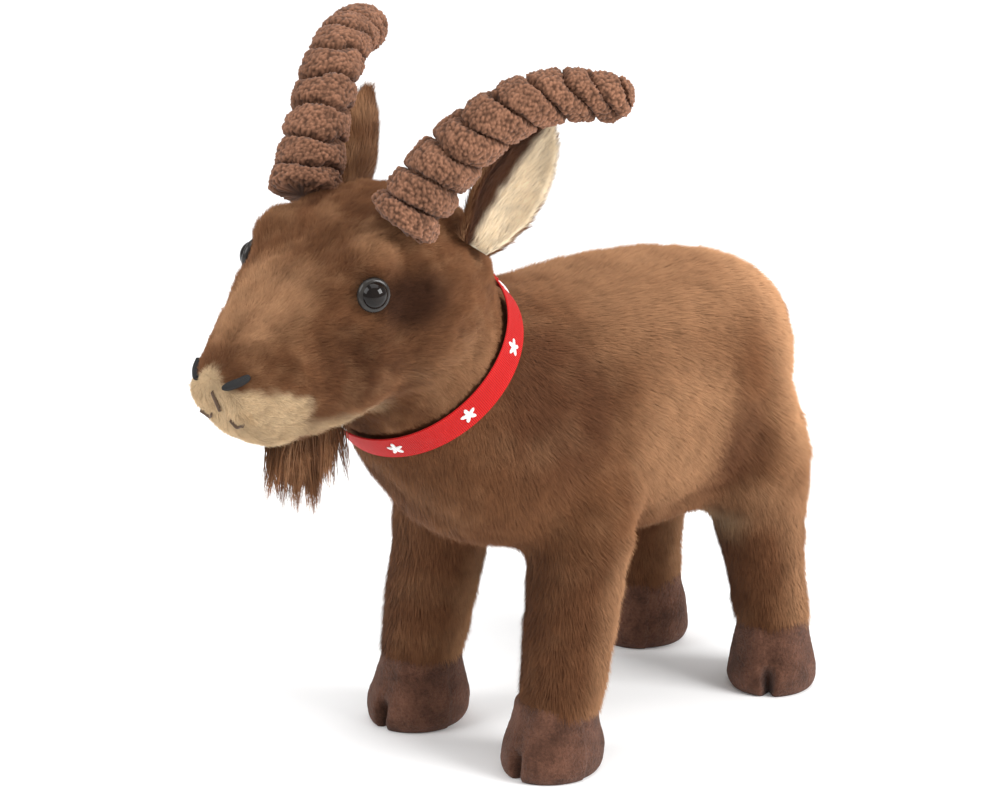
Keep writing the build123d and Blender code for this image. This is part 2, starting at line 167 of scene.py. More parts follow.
class Tree:
    """A node tree with one method that adds any node."""

    def __init__(self, tree):
        self.tree = tree
        tree.nodes.clear()

    def node(self, kind, settings=None, values=None, output=0):
        made = self.tree.nodes.new(kind)
        for key, value in (settings or {}).items():
            if key == "stops":
                ramp = made.color_ramp
                while len(ramp.elements) < len(value):
                    ramp.elements.new(0.5)
                for element, (place, colour) in zip(ramp.elements, value):
                    element.position, element.color = place, colour
            else:
                setattr(made, key, value)
        pairs = values.items() if isinstance(values, dict) else enumerate(values or [])
        for key, value in pairs:
            target = made.inputs[key]
            if isinstance(value, Socket):
                self.tree.links.new(value.socket, target)
            elif isinstance(value, bpy.types.NodeSocket):
                self.tree.links.new(value, target)
            elif value is not None:
                target.default_value = value
        return Socket(self, made.outputs[output]) if made.outputs else made

    def mix(self, factor, a, b, mode="MIX"):
        return self.node("ShaderNodeMix", {"data_type": "RGBA", "blend_type": mode},
                         {0: factor, 6: a, 7: b}, output=2)

    def coordinates(self):
        return self.node("ShaderNodeTexCoord", output=3)

    def noise(self, scale, detail=2.0, roughness=0.5, vector=None):
        return self.node("ShaderNodeTexNoise", {}, {"Vector": vector or self.coordinates(), "Scale": scale,
                                                    "Detail": detail, "Roughness": roughness})

    def cloud(self, scale, detail=3.0, roughness=0.6):
        """Noise stretched to run from 0 to 1."""
        return self.node("ShaderNodeMapRange", {}, {"Value": self.noise(scale, detail, roughness),
                                                    "From Min": 0.33, "From Max": 0.67})

    def attribute(self, name, output=2):
        return self.node("ShaderNodeAttribute", {"attribute_name": name}, output=output)

    def bump(self, height, strength, distance):
        return self.node("ShaderNodeBump", {}, {"Strength": strength, "Distance": distance, "Height": height})


def rgba(colour, gain=1.0):
    return tuple(float(min(c * gain, 1.0)) for c in colour) + (1.0,)


def material(name, build, **fixed):
    """A new material; build(tree) gives what is linked to the shader, fixed gives what is set on it."""
    made = bpy.data.materials.new(name)
    made.use_nodes = True
    tree = Tree(made.node_tree)
    values = dict(build(tree))
    values.update({key.replace("_", " "): value for key, value in fixed.items()})
    shader = tree.node("ShaderNodeBsdfPrincipled", {}, values)
    tree.node("ShaderNodeOutputMaterial", {}, {"Surface": shader})
    return made


# ------------------------------------------------------------------ materials
def grey(tree, value):
    """A colour with the same value in each channel."""
    return tree.node("ShaderNodeCombineColor", {}, [value, value, value])


def pile_material(name, root_shade_gain=0.74, tip_gain=1.12, uneven=0.16):
    """Strands take the hide's tint, darker at the root as painted shade of the pile's depth, paler at the tip,
    with brushed streaks.
    """
    def build(t):
        tint = t.attribute("tint", 0)
        along = t.attribute("along")
        # painted shade at the root end of each strand, where the pile is deep; the tip is made paler
        shade = t.node("ShaderNodeMapRange", {}, {"Value": along, "To Min": root_shade_gain, "To Max": tip_gain})
        brushed = 0.84 + t.cloud(95.0) * 0.18 + t.cloud(330.0) * 0.14
        gain = shade * brushed * ((1.0 - uneven / 2) + t.attribute("chance") * uneven)
        return {"Base Color": t.mix(1.0, tint, grey(t, gain), "MULTIPLY")}
    return material(name, build, Roughness=0.75, Sheen_Weight=0.06, Sheen_Roughness=0.5,
                    Specular_IOR_Level=0.08)


def hide_material():
    """The woven ground under the pile."""
    def build(t):
        tint = t.attribute("tint", 0)
        fine = t.noise(900.0, 3.0)
        broad = t.noise(130.0, 3.0)
        gain = 0.42 + fine * 0.30 + broad * 0.25
        bump = t.bump(fine, 0.6, 0.0006)
        return {"Base Color": t.mix(1.0, tint, grey(t, gain), "MULTIPLY"),
                "Normal": bump}
    return material("plush ground", build, Roughness=0.95, Specular_IOR_Level=0.05)


def boucle_material():
    """Looped cloth: painted light on the tops of the nubs, painted shade in the gaps between them and in the
    grooves between the rolls.
    """
    def build(t):
        broad = t.cloud(80.0)
        horn = linear("horn")
        pale = t.mix(broad, rgba(horn, 0.85), rgba(horn, 1.22))
        # painted light on the nub tops and painted shade in the gaps between the nubs
        lit = 0.26 + t.attribute("nub") * 1.30 + t.cloud(900.0) * 0.12
        # painted shade in the grooves between the rolls and along the seam
        lit = lit * (1.0 - t.attribute("groove") * 0.50)
        fine = t.noise(1800.0, 2.0)
        return {"Base Color": t.mix(1.0, pale, grey(t, lit), "MULTIPLY"), "Normal": t.bump(fine, 0.5, 0.0003)}
    return material("looped horn cloth", build, Roughness=0.95, Sheen_Weight=0.10, Sheen_Roughness=0.5,
                    Specular_IOR_Level=0.06)


def suede_material():
    def build(t):
        nap = t.cloud(950.0, 4.0, 0.75)
        broad = t.cloud(130.0, 4.0)
        hoof = linear("hoof")
        colour = t.mix(broad, rgba(hoof, 0.62), rgba(hoof, 1.30))
        # painted shade in the cleft between the toes
        crease = t.attribute("crease")
        gain = (0.70 + nap * 0.60) * (1.0 - crease * 0.6)
        bump = t.bump(nap, 0.8, 0.0006)
        return {"Base Color": t.mix(1.0, colour, grey(t, gain), "MULTIPLY"),
                "Roughness": 0.78 + nap * 0.2, "Normal": bump}
    return material("hoof suede", build, Sheen_Weight=0.12, Sheen_Roughness=0.4, Specular_IOR_Level=0.06)


def thread_material(name, colour, run=(1.0, 0.0, 0.0), roughness=0.45):
    """Satin stitching: fine parallel threads."""
    def build(t):
        along = t.node("ShaderNodeVectorMath", {"operation": "DOT_PRODUCT"}, [t.coordinates(), run], output=1)
        ribs = (along * 16000.0).sine() * 0.5 + 0.5
        grain = t.noise(1200.0, 2.0)
        gain = 0.65 + ribs * 0.35 + grain * 0.2
        return {"Base Color": t.mix(1.0, rgba(colour), grey(t, gain), "MULTIPLY"),
                "Normal": t.bump(ribs, 0.6, 0.0002)}
    return material(name, build, Roughness=roughness)


def ribbon_material():
    """Grosgrain: ribs across the band, a finer selvedge along each edge."""
    def build(t):
        place = t.node("ShaderNodeUVMap", {"uv_map": "band"})
        around = t.node("ShaderNodeSeparateXYZ", {}, [place])
        across = Socket(t, around.socket.node.outputs[1])
        ribs = (around * (2 * math.pi * 330)).sine() * 0.5 + 0.5
        edge = (across * 2.0 - 1.0) ** 8.0
        cloud = t.noise(60.0, 3.0)
        red = linear("ribbon")
        colour = t.mix(ribs * 0.75 + cloud * 0.25, rgba(red, 0.50), rgba(red, 1.12))
        height = ribs * (1.0 - edge) + edge
        return {"Base Color": colour, "Roughness": 0.50 + ribs * 0.15, "Normal": t.bump(height, 0.9, 0.0003)}
    return material("grosgrain", build, Sheen_Weight=0.05, Sheen_Roughness=0.4, Specular_IOR_Level=0.2)


def eye_materials():
    def pupil(t):
        depth = t.noise(300.0, 1.0)
        return {"Base Color": t.mix(depth, (0.003, 0.002, 0.002, 1), (0.012, 0.008, 0.006, 1))}

    def rim(t):
        smoke = t.noise(420.0, 2.0)
        return {"Base Color": t.mix(smoke, (0.010, 0.008, 0.007, 1), (0.040, 0.035, 0.031, 1)),
                "Roughness": 0.14 + smoke * 0.1}
    return (material("eye dome", pupil, Roughness=0.05, Specular_IOR_Level=0.22),
            material("eye rim", rim, Specular_IOR_Level=0.30))


def plastic_material():
    def build(t):
        grain = t.noise(700.0, 2.0)
        return {"Base Color": t.mix(grain, (0.72, 0.72, 0.70, 1), (0.84, 0.84, 0.82, 1)),
                "Normal": t.bump(grain, 0.2, 0.0001)}
    return material("washer plastic", build, Roughness=0.45)


# ------------------------------------------------------------------ mesh helpers
def new_object(name, mesh):
    made = bpy.data.objects.new(name, mesh)
    bpy.context.scene.collection.objects.link(made)
    return made


def mesh_from(name, points, faces):
    mesh = bpy.data.meshes.new(name)
    mesh.from_pydata([tuple(p) for p in points], [], faces)
    mesh.update()
    return mesh


def outward(mesh):
    """Merges doubles and turns every face outwards."""
    work = bmesh.new()
    work.from_mesh(mesh)
    bmesh.ops.remove_doubles(work, verts=work.verts, dist=1e-6)
    bmesh.ops.recalc_face_normals(work, faces=work.faces)
    work.to_mesh(mesh)
    work.free()
    mesh.shade_smooth()
    return mesh


def face_outwards(mesh):
    """Turns every face outwards and keeps the order of the points."""
    work = bmesh.new()
    work.from_mesh(mesh)
    bmesh.ops.recalc_face_normals(work, faces=work.faces)
    work.to_mesh(mesh)
    work.free()
    return mesh


def along_curve(values, count):
    """Rows of values, spread evenly along a smooth curve through the given rows."""
    values = np.asarray(values, float)
    padded = np.vstack([2 * values[0] - values[1], values, 2 * values[-1] - values[-2]])
    out = []
    for s in np.linspace(0, len(values) - 1, count):
        i = min(int(s), len(values) - 2)
        u = s - i
        a, b, c, d = padded[i:i + 4]
        out.append(0.5 * (2 * b + (c - a) * u + (2 * a - 5 * b + 4 * c - d) * u ** 2
                          + (3 * b - a - 3 * c + d) * u ** 3))
    return np.array(out)


def closed_tube(rings):
    """Points and faces of a tube through rings of equal count, with a fan closing each end."""
    rings = np.asarray(rings, float)
    count, around = rings.shape[:2]
    points = list(rings.reshape(-1, 3)) + [rings[0].mean(0), rings[-1].mean(0)]
    faces = []
    for i in range(count - 1):
        for j in range(around):
            k = (j + 1) % around
            faces.append((i * around + j, i * around + k, (i + 1) * around + k, (i + 1) * around + j))
    first, last = count * around, count * around + 1
    for j in range(around):
        k = (j + 1) % around
        faces.append((first, k, j))
        faces.append((last, (count - 1) * around + j, (count - 1) * around + k))
    return points, faces


def oval_ring(top, bottom, half_width, around, square=2.0):
    """A ring across the toy between two outline points (y, z)."""
    centre = (np.array(top) + np.array(bottom)) / 2
    arm = (np.array(top) - np.array(bottom)) / 2
    ring = []
    for a in np.linspace(0, 2 * math.pi, around, endpoint=False):
        c, s = math.cos(a), math.sin(a)
        x = half_width * math.copysign(abs(c) ** (2 / square), c)
        up = math.copysign(abs(s) ** (2 / square), s)
        ring.append((x, centre[0] + arm[0] * up, centre[1] + arm[1] * up))
    return ring


def oval_tube(stations, count, around=64, square=None):
    rows = along_curve([[*top, *bottom, width] for top, bottom, width in stations], count)
    squares = square if square is not None else [2.0] * len(stations)
    squares = np.interp(np.linspace(0, 1, count), np.linspace(0, 1, len(stations)), squares)
    return closed_tube([oval_ring(r[0:2], r[2:4], max(r[4], 0.5), around, k) for r, k in zip(rows, squares)])


def upright_tube(levels, count, around=48):
    """A tube through levels of (x, y, z, half width x, half width y)."""
    rings = []
    for x, y, z, a, b in along_curve(levels, count):
        turn = np.linspace(0, 2 * math.pi, around, endpoint=False)
        rings.append(np.stack([x + a * np.cos(turn), y + b * np.sin(turn), np.full(around, z)], 1))
    return closed_tube(rings)


def ellipsoid(centre, radii, pitch=0.0, around=48):
    rings = []
    for a in np.linspace(0.02, math.pi - 0.02, around // 2):
        ring = []
        for b in np.linspace(0, 2 * math.pi, around, endpoint=False):
            p = Vector((radii[0] * math.sin(a) * math.cos(b), -radii[1] * math.cos(a),
                        radii[2] * math.sin(a) * math.sin(b)))
            ring.append(Matrix.Rotation(pitch, 3, "X") @ p + Vector(centre))
        rings.append(ring)
    return closed_tube(rings)


def joined(name, forms):
    """One mesh, in metres, of several closed forms."""
    points, faces = [], []
    for some_points, some_faces in forms:
        start = len(points)
        points += [tuple(p) for p in some_points]
        faces += [tuple(start + i for i in f) for f in some_faces]
    mesh = mesh_from(name, metres(points), faces)
    return outward(mesh)


def settled(obj):
    """Applies the object's modifiers."""
    graph = bpy.context.evaluated_depsgraph_get()
    mesh = bpy.data.meshes.new_from_object(obj.evaluated_get(graph))
    old = obj.data
    obj.modifiers.clear()
    obj.data = mesh
    bpy.data.meshes.remove(old)
    return obj


def one_skin(obj, voxel, rounds):
    """Merges the forms of a mesh into one skin and eases the joins."""
    remesh = obj.modifiers.new("merge", "REMESH")
    remesh.mode, remesh.voxel_size = "VOXEL", voxel
    ease = obj.modifiers.new("ease", "SMOOTH")
    ease.factor, ease.iterations = 0.5, rounds
    return settled(obj)


def coordinates(mesh):
    flat = np.empty(len(mesh.vertices) * 3)
    mesh.vertices.foreach_get("co", flat)
    return flat.reshape(-1, 3)


def set_coordinates(mesh, points):
    mesh.vertices.foreach_set("co", np.asarray(points, float).reshape(-1))
    mesh.update()


def normals(mesh):
    flat = np.empty(len(mesh.vertices) * 3)
    mesh.vertex_normals.foreach_get("vector", flat)
    return flat.reshape(-1, 3)


def stuff(obj, held, cap, pressure=4.0):
    """Swells a skin by cloth pressure. held is each point's hold, 1 where a seam keeps it still."""
    rest = coordinates(obj.data)
    group = obj.vertex_groups.new(name="seams")
    for level in range(1, 11):
        chosen = np.nonzero(np.round(held * 10) == level)[0]
        if len(chosen):
            group.add([int(i) for i in chosen], level / 10, "REPLACE")
    cloth = obj.modifiers.new("stuffing", "CLOTH")
    settings = cloth.settings
    settings.quality = 4
    settings.mass = 0.2
    settings.use_pressure = True
    settings.uniform_pressure_force = pressure
    settings.tension_stiffness = settings.compression_stiffness = 12.0
    settings.bending_stiffness = 0.8
    settings.vertex_group_mass = "seams"
    settings.effector_weights.gravity = 0.0
    cloth.collision_settings.use_collision = False
    scene = bpy.context.scene
    for number in range(1, 17):
        scene.frame_set(number)
    settled(obj)
    scene.frame_set(1)
    moved = coordinates(obj.data) - rest
    reach = np.linalg.norm(moved, axis=1, keepdims=True)
    set_coordinates(obj.data, rest + moved * np.minimum(1.0, cap / np.maximum(reach, 1e-9)))
    obj.vertex_groups.clear()
    return obj


def store(mesh, name, kind, values, domain="POINT"):
    attribute = mesh.attributes.new(name, kind, domain)
    key = {"FLOAT": "value", "INT": "value", "FLOAT_VECTOR": "vector", "FLOAT_COLOR": "color"}[kind]
    sort = np.int32 if kind == "INT" else np.float32
    attribute.data.foreach_set(key, np.ascontiguousarray(values, dtype=sort).reshape(-1))


def soft(value, low, high):
    """0 below low, 1 above high, smooth between; low may be the larger."""
    t = np.clip((value - low) / (high - low), 0, 1)
    return t * t * (3 - 2 * t)


def blob(p, centre, radii):
    """1 at a centre, falling smoothly to 0 at the radii."""
    d = np.sqrt((((p - np.array(centre)) / np.array(radii)) ** 2).sum(1))
    return 1 - soft(d, 0.35, 1.0)


def finish_piece(obj, body, made, *nodes, slot=None, smooth=True):
    if made is not None:
        obj.data.materials.clear()
        obj.data.materials.append(made)
    if smooth:
        obj.data.shade_smooth()
    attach(obj, body)
    if nodes:
        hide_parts(*nodes)
    return obj


# ------------------------------------------------------------------ shape tables, in millimetres
TORSO = [
    ((137.0, 112.0), (136.0, 100.0), 6.0),
    ((134.0, 129.0), (130.0, 88.0), 18.0),
    ((127.0, 142.0), (121.0, 78.0), 26.5),
    ((112.0, 150.0), (110.0, 68.5), 35.0),
    ((92.0, 155.0), (92.0, 64.5), 40.5),
    ((66.0, 158.5), (66.0, 64.0), 42.5),
    ((40.0, 159.5), (38.0, 66.5), 43.0),
    ((20.0, 160.5), (8.0, 70.5), 42.5),
    ((9.0, 163.0), (-22.0, 82.5), 40.5),
]
FRONT_LEG = [(100.0, 17.0, 23.0), (84.0, 18.5, 21.0), (66.0, 17.5, 18.0), (46.0, 16.4, 16.8),
             (30.0, 15.6, 16.0), (21.0, 14.5, 15.0), (19.0, 11.0, 11.5)]
REAR_LEG = [(116.0, 15.0, 18.0), (98.0, 18.5, 23.0), (80.0, 18.8, 23.5), (62.0, 16.3, 18.5),
            (44.0, 14.4, 15.2), (30.0, 14.0, 14.6), (21.0, 13.2, 13.8), (19.0, 10.0, 10.5)]
LEG_LINES = {  # x and y at the top, x and y at the ankle
    "front_left": (25.0, 25.0, 33.0, 5.0), "front_right": (-24.5, 12.0, -32.5, 3.0),
    "rear_left": (24.0, 101.0, 31.0, 111.0), "rear_right": (-24.0, 101.0, -30.0, 110.0),
}
SKULL = ((0.0, -48.0, 170.5), (36.0, 42.0, 35.5), math.radians(14.0))
MUZZLE = [
    ((-50.0, 201.0), (-56.0, 140.0), 32.0),
    ((-72.0, 201.5), (-75.0, 136.0), 31.5),
    ((-89.0, 190.5), (-86.0, 134.0), 26.0),
    ((-104.0, 178.5), (-95.0, 132.5), 20.5),
    ((-114.5, 169.5), (-103.0, 133.5), 16.5),
    ((-120.5, 162.5), (-111.0, 138.0), 12.5),
    ((-121.5, 158.5), (-114.5, 143.5), 8.0),
]


TORSO_SQUARE = [2.0, 2.05, 2.1, 2.2, 2.3, 2.35, 2.3, 2.2, 2.1, 2.0, 2.0, 2.0, 2.0]
MUZZLE_SQUARE = [2.2, 2.55, 2.45, 2.3, 2.2, 2.1, 2.0]   # 2 is an oval; more is boxier


def neck_station(along, radius):
    """An outline across the neck, at a distance along its axis from the middle of the collar."""
    c, s = math.cos(NECK_TILT), math.sin(NECK_TILT)
    y, z = NECK_Y - along * c, NECK_Z + along * s
    return (y + radius * s, z + radius * c), (y - radius * s, z - radius * c), radius


def leg_form(name):
    x0, y0, x1, y1 = LEG_LINES[name]
    table = FRONT_LEG if name.startswith("front") else REAR_LEG
    top = 100.0 if name.startswith("front") else 104.0
    levels = []
    for z, a, b in table:
        t = (top - z) / (top - 22.0)
        levels.append((x0 + (x1 - x0) * t, y0 + (y1 - y0) * t, z, a, b))
    return upright_tube(levels, 34)


NECK_END = [neck_station(along, radius)
            for along, radius in ((-9.0, 37.0), (-6.0, 34.6), (0.0, 33.0), (5.0, 32.5))]


class IBEX_OT_hide(bpy.types.Operator):
    """Make the stuffed cloth of the body and the head"""
    bl_idname = "ibex.hide"
    bl_label = "Body and head hide"

    def execute(self, context):
        cloth = hide_material()
        torso = oval_tube(TORSO + NECK_END, 60, square=TORSO_SQUARE)
        body = new_object("body_hide", joined("body_hide", [torso] + [leg_form(n) for n in LEGS]))
        one_skin(body, 3.0 * MM, 6)
        p = table_mm(coordinates(body.data))
        n = normals(body.data)
        line = np.abs(p[:, 2] - (82 - 0.0011 * (p[:, 1] - 55) ** 2)) / 3.0
        between_legs = soft(p[:, 1], -12, 8) * (1 - soft(p[:, 1], 100, 116))
        belly_seam = np.exp(-line ** 2) * between_legs * (p[:, 2] > 66)
        back_seam = np.exp(-(p[:, 0] / 2.0) ** 2) * (p[:, 2] > 130)
        seams = np.clip(belly_seam + back_seam * 0.4, 0, 1)
        set_coordinates(body.data, coordinates(body.data) - n * (seams * 0.9 * MM)[:, None])
        feet = (p[:, 2] < 26).astype(float)
        stuff(body, np.clip(seams + feet, 0, 1), 2.0 * MM)
        shrink(body.data, 1.9)
        head = new_object("head_hide", joined("head_hide", [
            ellipsoid(*SKULL), oval_tube(MUZZLE, 40, square=MUZZLE_SQUARE), neck_form()]))
        one_skin(head, 2.2 * MM, 5)
        sculpt_head(head.data)
        stuff(head, np.zeros(len(head.data.vertices)) + 0.1, 1.0 * MM, 2.0)
        shrink(head.data, 1.0)
        body_nodes = ["torso_left_panel", "torso_right_panel", "belly_gusset", "torso_stuffing"]
        for name in LEGS:
            body_nodes += [name + "_leg_cover", name + "_leg_stuffing"]
        finish_piece(body, "body", cloth, *body_nodes, slot="plush")
        finish_piece(head, "body", cloth, "head_gusset", "face_left_panel", "face_right_panel", "chin_gusset",
                     "muzzle_patch", "head_stuffing", "neck_strip", "neck_stuffing", slot="plush")
        dress(body, body_tint, body_comb, body_length)
        dress(head, head_tint, head_comb, head_length)
        return {"FINISHED"}


def shrink(mesh, pile_room):
    """Moves a hide in to leave room for its pile, and gives it the small dents of hand stuffing."""
    p = coordinates(mesh)
    dents = 0.55 * rough(p / MM, 19.0, 21) + 0.25 * rough(p / MM, 8.0, 22)
    set_coordinates(mesh, p - normals(mesh) * ((pile_room + dents) * MM)[:, None])


def neck_form():
    """The throat, from inside the torso's neck up into the skull."""
    turn = np.linspace(0, 2 * math.pi, 56, endpoint=False)
    rings = []
    for along, radius in ((-10.0, 30.0), (-5.0, 32.6), (0.0, 33.4), (6.0, 34.4), (16.0, 34.0), (28.0, 28.0)):
        c = (NECK_Y - along * math.cos(NECK_TILT), NECK_Z + along * math.sin(NECK_TILT))
        rings.append(np.stack([radius * np.cos(turn),
                               c[0] + radius * np.sin(turn) * math.sin(NECK_TILT),
                               c[1] + radius * np.sin(turn) * math.cos(NECK_TILT)], 1))
    return closed_tube(rings)


def sculpt_head(mesh):
    """Brow, eye hollows, cheeks, nose wings and the parting of the lips, as moves along the normal."""
    p, n = table_mm(coordinates(mesh)), normals(mesh)
    q = p * np.array((1.0, 1.0, 1.0))
    q[:, 0] = np.abs(q[:, 0])
    move = -2.4 * blob(q, (31, -80, 184), (10, 11, 10))
    move += 5.2 * blob(q, (27, -73, 198), (14, 15, 12))
    move += 4.6 * blob(q, (24.8, -58, 203), (18, 18, 14))
    move += 2.6 * blob(q, (0, -54, 206), (26, 26, 14))
    move -= 2.0 * blob(q, (8, -84, 200), (12, 14, 12))
    move += 2.0 * blob(q, (32, -48, 163), (16, 26, 20))
    move -= 2.2 * blob(q, (26, -88, 166), (12, 17, 13))
    move += 1.3 * blob(q, (12, -115, 151), (9, 9, 8))
    move -= 1.0 * np.exp(-(p[:, 0] / 1.4) ** 2) * (p[:, 1] < -108) * (p[:, 2] < 158)
    set_coordinates(mesh, coordinates(mesh) + n * (move * MM)[:, None])
    return mesh


# ------------------------------------------------------------------ tint, comb and length of the pile
def rough(p, size, seed):
    """Smooth noise from -1 to 1 at each point."""
    offset = Vector((seed * 13.7, seed * 5.1, seed * 9.3))
    return np.array([noise.noise(Vector(v) / size + offset) for v in p])


def paint(base, mask, colour):
    mask = np.clip(mask, 0, 1)[:, None]
    return base * (1 - mask) + colour * mask


def body_tint(p, n):
    brown, dark, tan, cream = (linear(k) for k in ("brown", "dark", "tan", "cream"))
    mottled = rough(p, 17.0, 1) * 0.45 + rough(p, 6.0, 2) * 0.25
    tint = np.tile(brown, (len(p), 1))
    side = np.abs(p[:, 0])
    flat = p * [0, 1, 1]
    # Tan on the back and the flank: partly the pile's own paler colour, partly painted light from the side
    # light behind.
    tint = paint(tint, 0.50 * soft(p[:, 2], 126, 150) * soft(p[:, 1], 2, 40), tan)
    tint = paint(tint, 0.65 * blob(flat, (0, 54, 110), (9, 36, 38)) * (side > 18), tan)
    # The rump: painted light, tan made paler still, where the light from behind falls.
    tint = paint(tint, 0.95 * soft(p[:, 1], 90, 116) * soft(p[:, 2], 72, 98), tan * 1.1)
    tint = paint(tint, 0.50 * blob(flat, (0, 92, 74), (9, 18, 14)) * (side > 18), tan)
    # Dark on the shoulders: partly the pile's own colour, partly painted shade on the front, away from the
    # light.
    tint = paint(tint, 0.75 * blob(flat, (0, -2, 132), (9, 36, 34)), dark)
    tint = paint(tint, 0.70 * blob(flat, (0, 84, 98), (9, 17, 22)) * (side > 14), dark)
    belly = (1 - soft(p[:, 2], 66, 74)) * soft(p[:, 1], 18, 28) * (1 - soft(p[:, 1], 84, 94)) * (side < 38)
    tint = paint(tint, belly * (p[:, 2] > 58) * (n[:, 2] < -0.1), cream)
    # The legs go darker brown, and their side that faces +X and +Y, towards the side light, gets painted light
    # in tan.
    leg = soft(p[:, 2], 88, 70)
    tint = paint(tint, 0.40 * leg, dark)
    tint = paint(tint, 0.55 * leg * soft(n[:, 0] + n[:, 1], 0.5, 1.3), tan)
    tint = paint(tint, np.clip(mottled, 0, 1) * 0.6, tan)
    return paint(tint, np.clip(-mottled, 0, 1) * 0.6, dark)


def body_comb(p, n):
    """Which way the pile lies: back and down on the trunk, down on the legs."""
    down = np.tile((0.0, 0.75, -0.66), (len(p), 1))
    down[:, 2] -= 0.5 * soft(p[:, 2], 130, 90)
    leg = soft(p[:, 2], 84, 62)[:, None]
    way = down * (1 - leg) + np.array((0.0, 0.12, -1.0)) * leg
    chest = (soft(p[:, 1], 10, -20) * soft(p[:, 2], 70, 90))[:, None]
    return way * (1 - chest) + np.array((0.0, 0.25, -1.0)) * chest


def body_length(p, n):
    leg = soft(p[:, 2], 88, 64)
    along = neck_distance(p)[0]
    near = 1 - 0.72 * soft(-along, 20, 6) * soft(p[:, 1], 30, 10)
    return (shape().body_pile * (1 - leg) + shape().leg_pile * leg) * near


def head_tint(p, n):
    brown, dark, tan, cream = (linear(k) for k in ("brown", "dark", "tan", "cream"))
    q = p.copy()
    q[:, 0] = np.abs(q[:, 0])
    mottled = rough(p, 10.0, 3) * 0.55 + rough(p, 3.6, 4) * 0.55
    tint = np.tile(brown, (len(p), 1))
    # The nose bridge: tan, partly its own paler pile, partly painted light from above.
    tint = paint(tint, 0.80 * blob(q, (6, -104, 183), (17, 32, 20)), tan)
    tint = paint(tint, 0.35 * blob(q, (26, -70, 203), (16, 20, 12)), tan)
    tint = paint(tint, 0.30 * blob(q, (33, -44, 152), (16, 26, 20)), tan)
    tint = paint(tint, 0.55 * blob(q, (29, -84, 160), (14, 22, 16)), dark)
    tint = paint(tint, 0.50 * blob(q, (14, -66, 206), (12, 18, 10)), dark)
    tint = paint(tint, np.clip(mottled, 0, 1) * 0.6, tan)
    tint = paint(tint, np.clip(-mottled, 0, 1) * 0.6, dark)
    tint = paint(tint, 1.00 * blob(q, (34, -64, 181), (15, 22, 15)), dark * 0.52)
    tint = paint(tint, 0.70 * blob(q, (30, -82, 190), (10, 10, 9)), dark * 0.8)
    jaw = soft(p[:, 2], 147.0, 142.0) * soft(q[:, 0], 12, 17) * soft(-p[:, 1], 58, 68)
    tint = paint(tint, 0.75 * jaw, cream)
    return paint(tint, lip_mask(p), cream)


def lip_mask(p):
    """1 on the cream cloth of lips and chin."""
    side = np.abs(p[:, 0])
    top = 157.5 - 0.055 * np.maximum(side - 12.0, 0) ** 2 + 6.0 * np.exp(-(side / 5.5) ** 2)
    top = top + 1.1 * rough(p, 3.5, 5)
    return soft(top - p[:, 2], -0.7, 0.7) * soft(-p[:, 1], 94.5, 97.5)


def head_comb(p, n):
    """From the nose back over the bridge and cheeks."""
    way = np.tile((0.0, 0.9, 0.15), (len(p), 1))
    way[:, 0] = np.sign(p[:, 0]) * 0.25
    way[:, 2] -= 0.6 * soft(p[:, 2], 172, 150)
    throat = soft(p[:, 1], -62, -40)[:, None] * soft(p[:, 2], 160, 145)[:, None]
    return way * (1 - throat) + np.array((0.0, 0.5, -0.8)) * throat


def head_length(p, n):
    length = np.full(len(p), shape().head_pile)
    length *= 1 - 0.42 * soft(-p[:, 1], 92, 112)
    length *= 1 + 0.35 * blob(p * [0, 1, 1], (0, -40, 150), (9, 30, 22))
    q = p.copy()
    q[:, 0] = np.abs(q[:, 0])
    along = neck_distance(p)[0]
    length *= 1 - 0.5 * soft(along, 14, 5)
    return length * (1 - 0.55 * blob(q, (28, -75, 184.5), (9, 9, 9)))


def dress(obj, tint, comb, length, lean=0.42):
    """Writes the attributes that the pile grows from."""
    mesh = obj.data
    p, n = table_mm(coordinates(mesh)), normals(mesh)
    colours = np.concatenate([tint(p, n), np.ones((len(p), 1))], 1)
    way = comb(p, n)
    way -= n * (way * n).sum(1, keepdims=True)
    way /= np.maximum(np.linalg.norm(way, axis=1, keepdims=True), 1e-6)
    store(mesh, "tint", "FLOAT_COLOR", colours)
    store(mesh, "comb", "FLOAT_VECTOR", way + n * lean)
    store(mesh, "pile", "FLOAT", length(p, n))


def blade(droop=0.16):
    """One lock of pile, one unit long, that stands on +Z and leans towards -Y: a single triangle."""
    mesh = mesh_from("lock", [(-0.5, 0.0, 0.0), (0.5, 0.0, 0.08), (0.0, -droop, 1.0)], [(0, 1, 2)])
    store(mesh, "along", "FLOAT", [0.0, 0.08, 1.0])
    return new_object("lock_template", mesh)


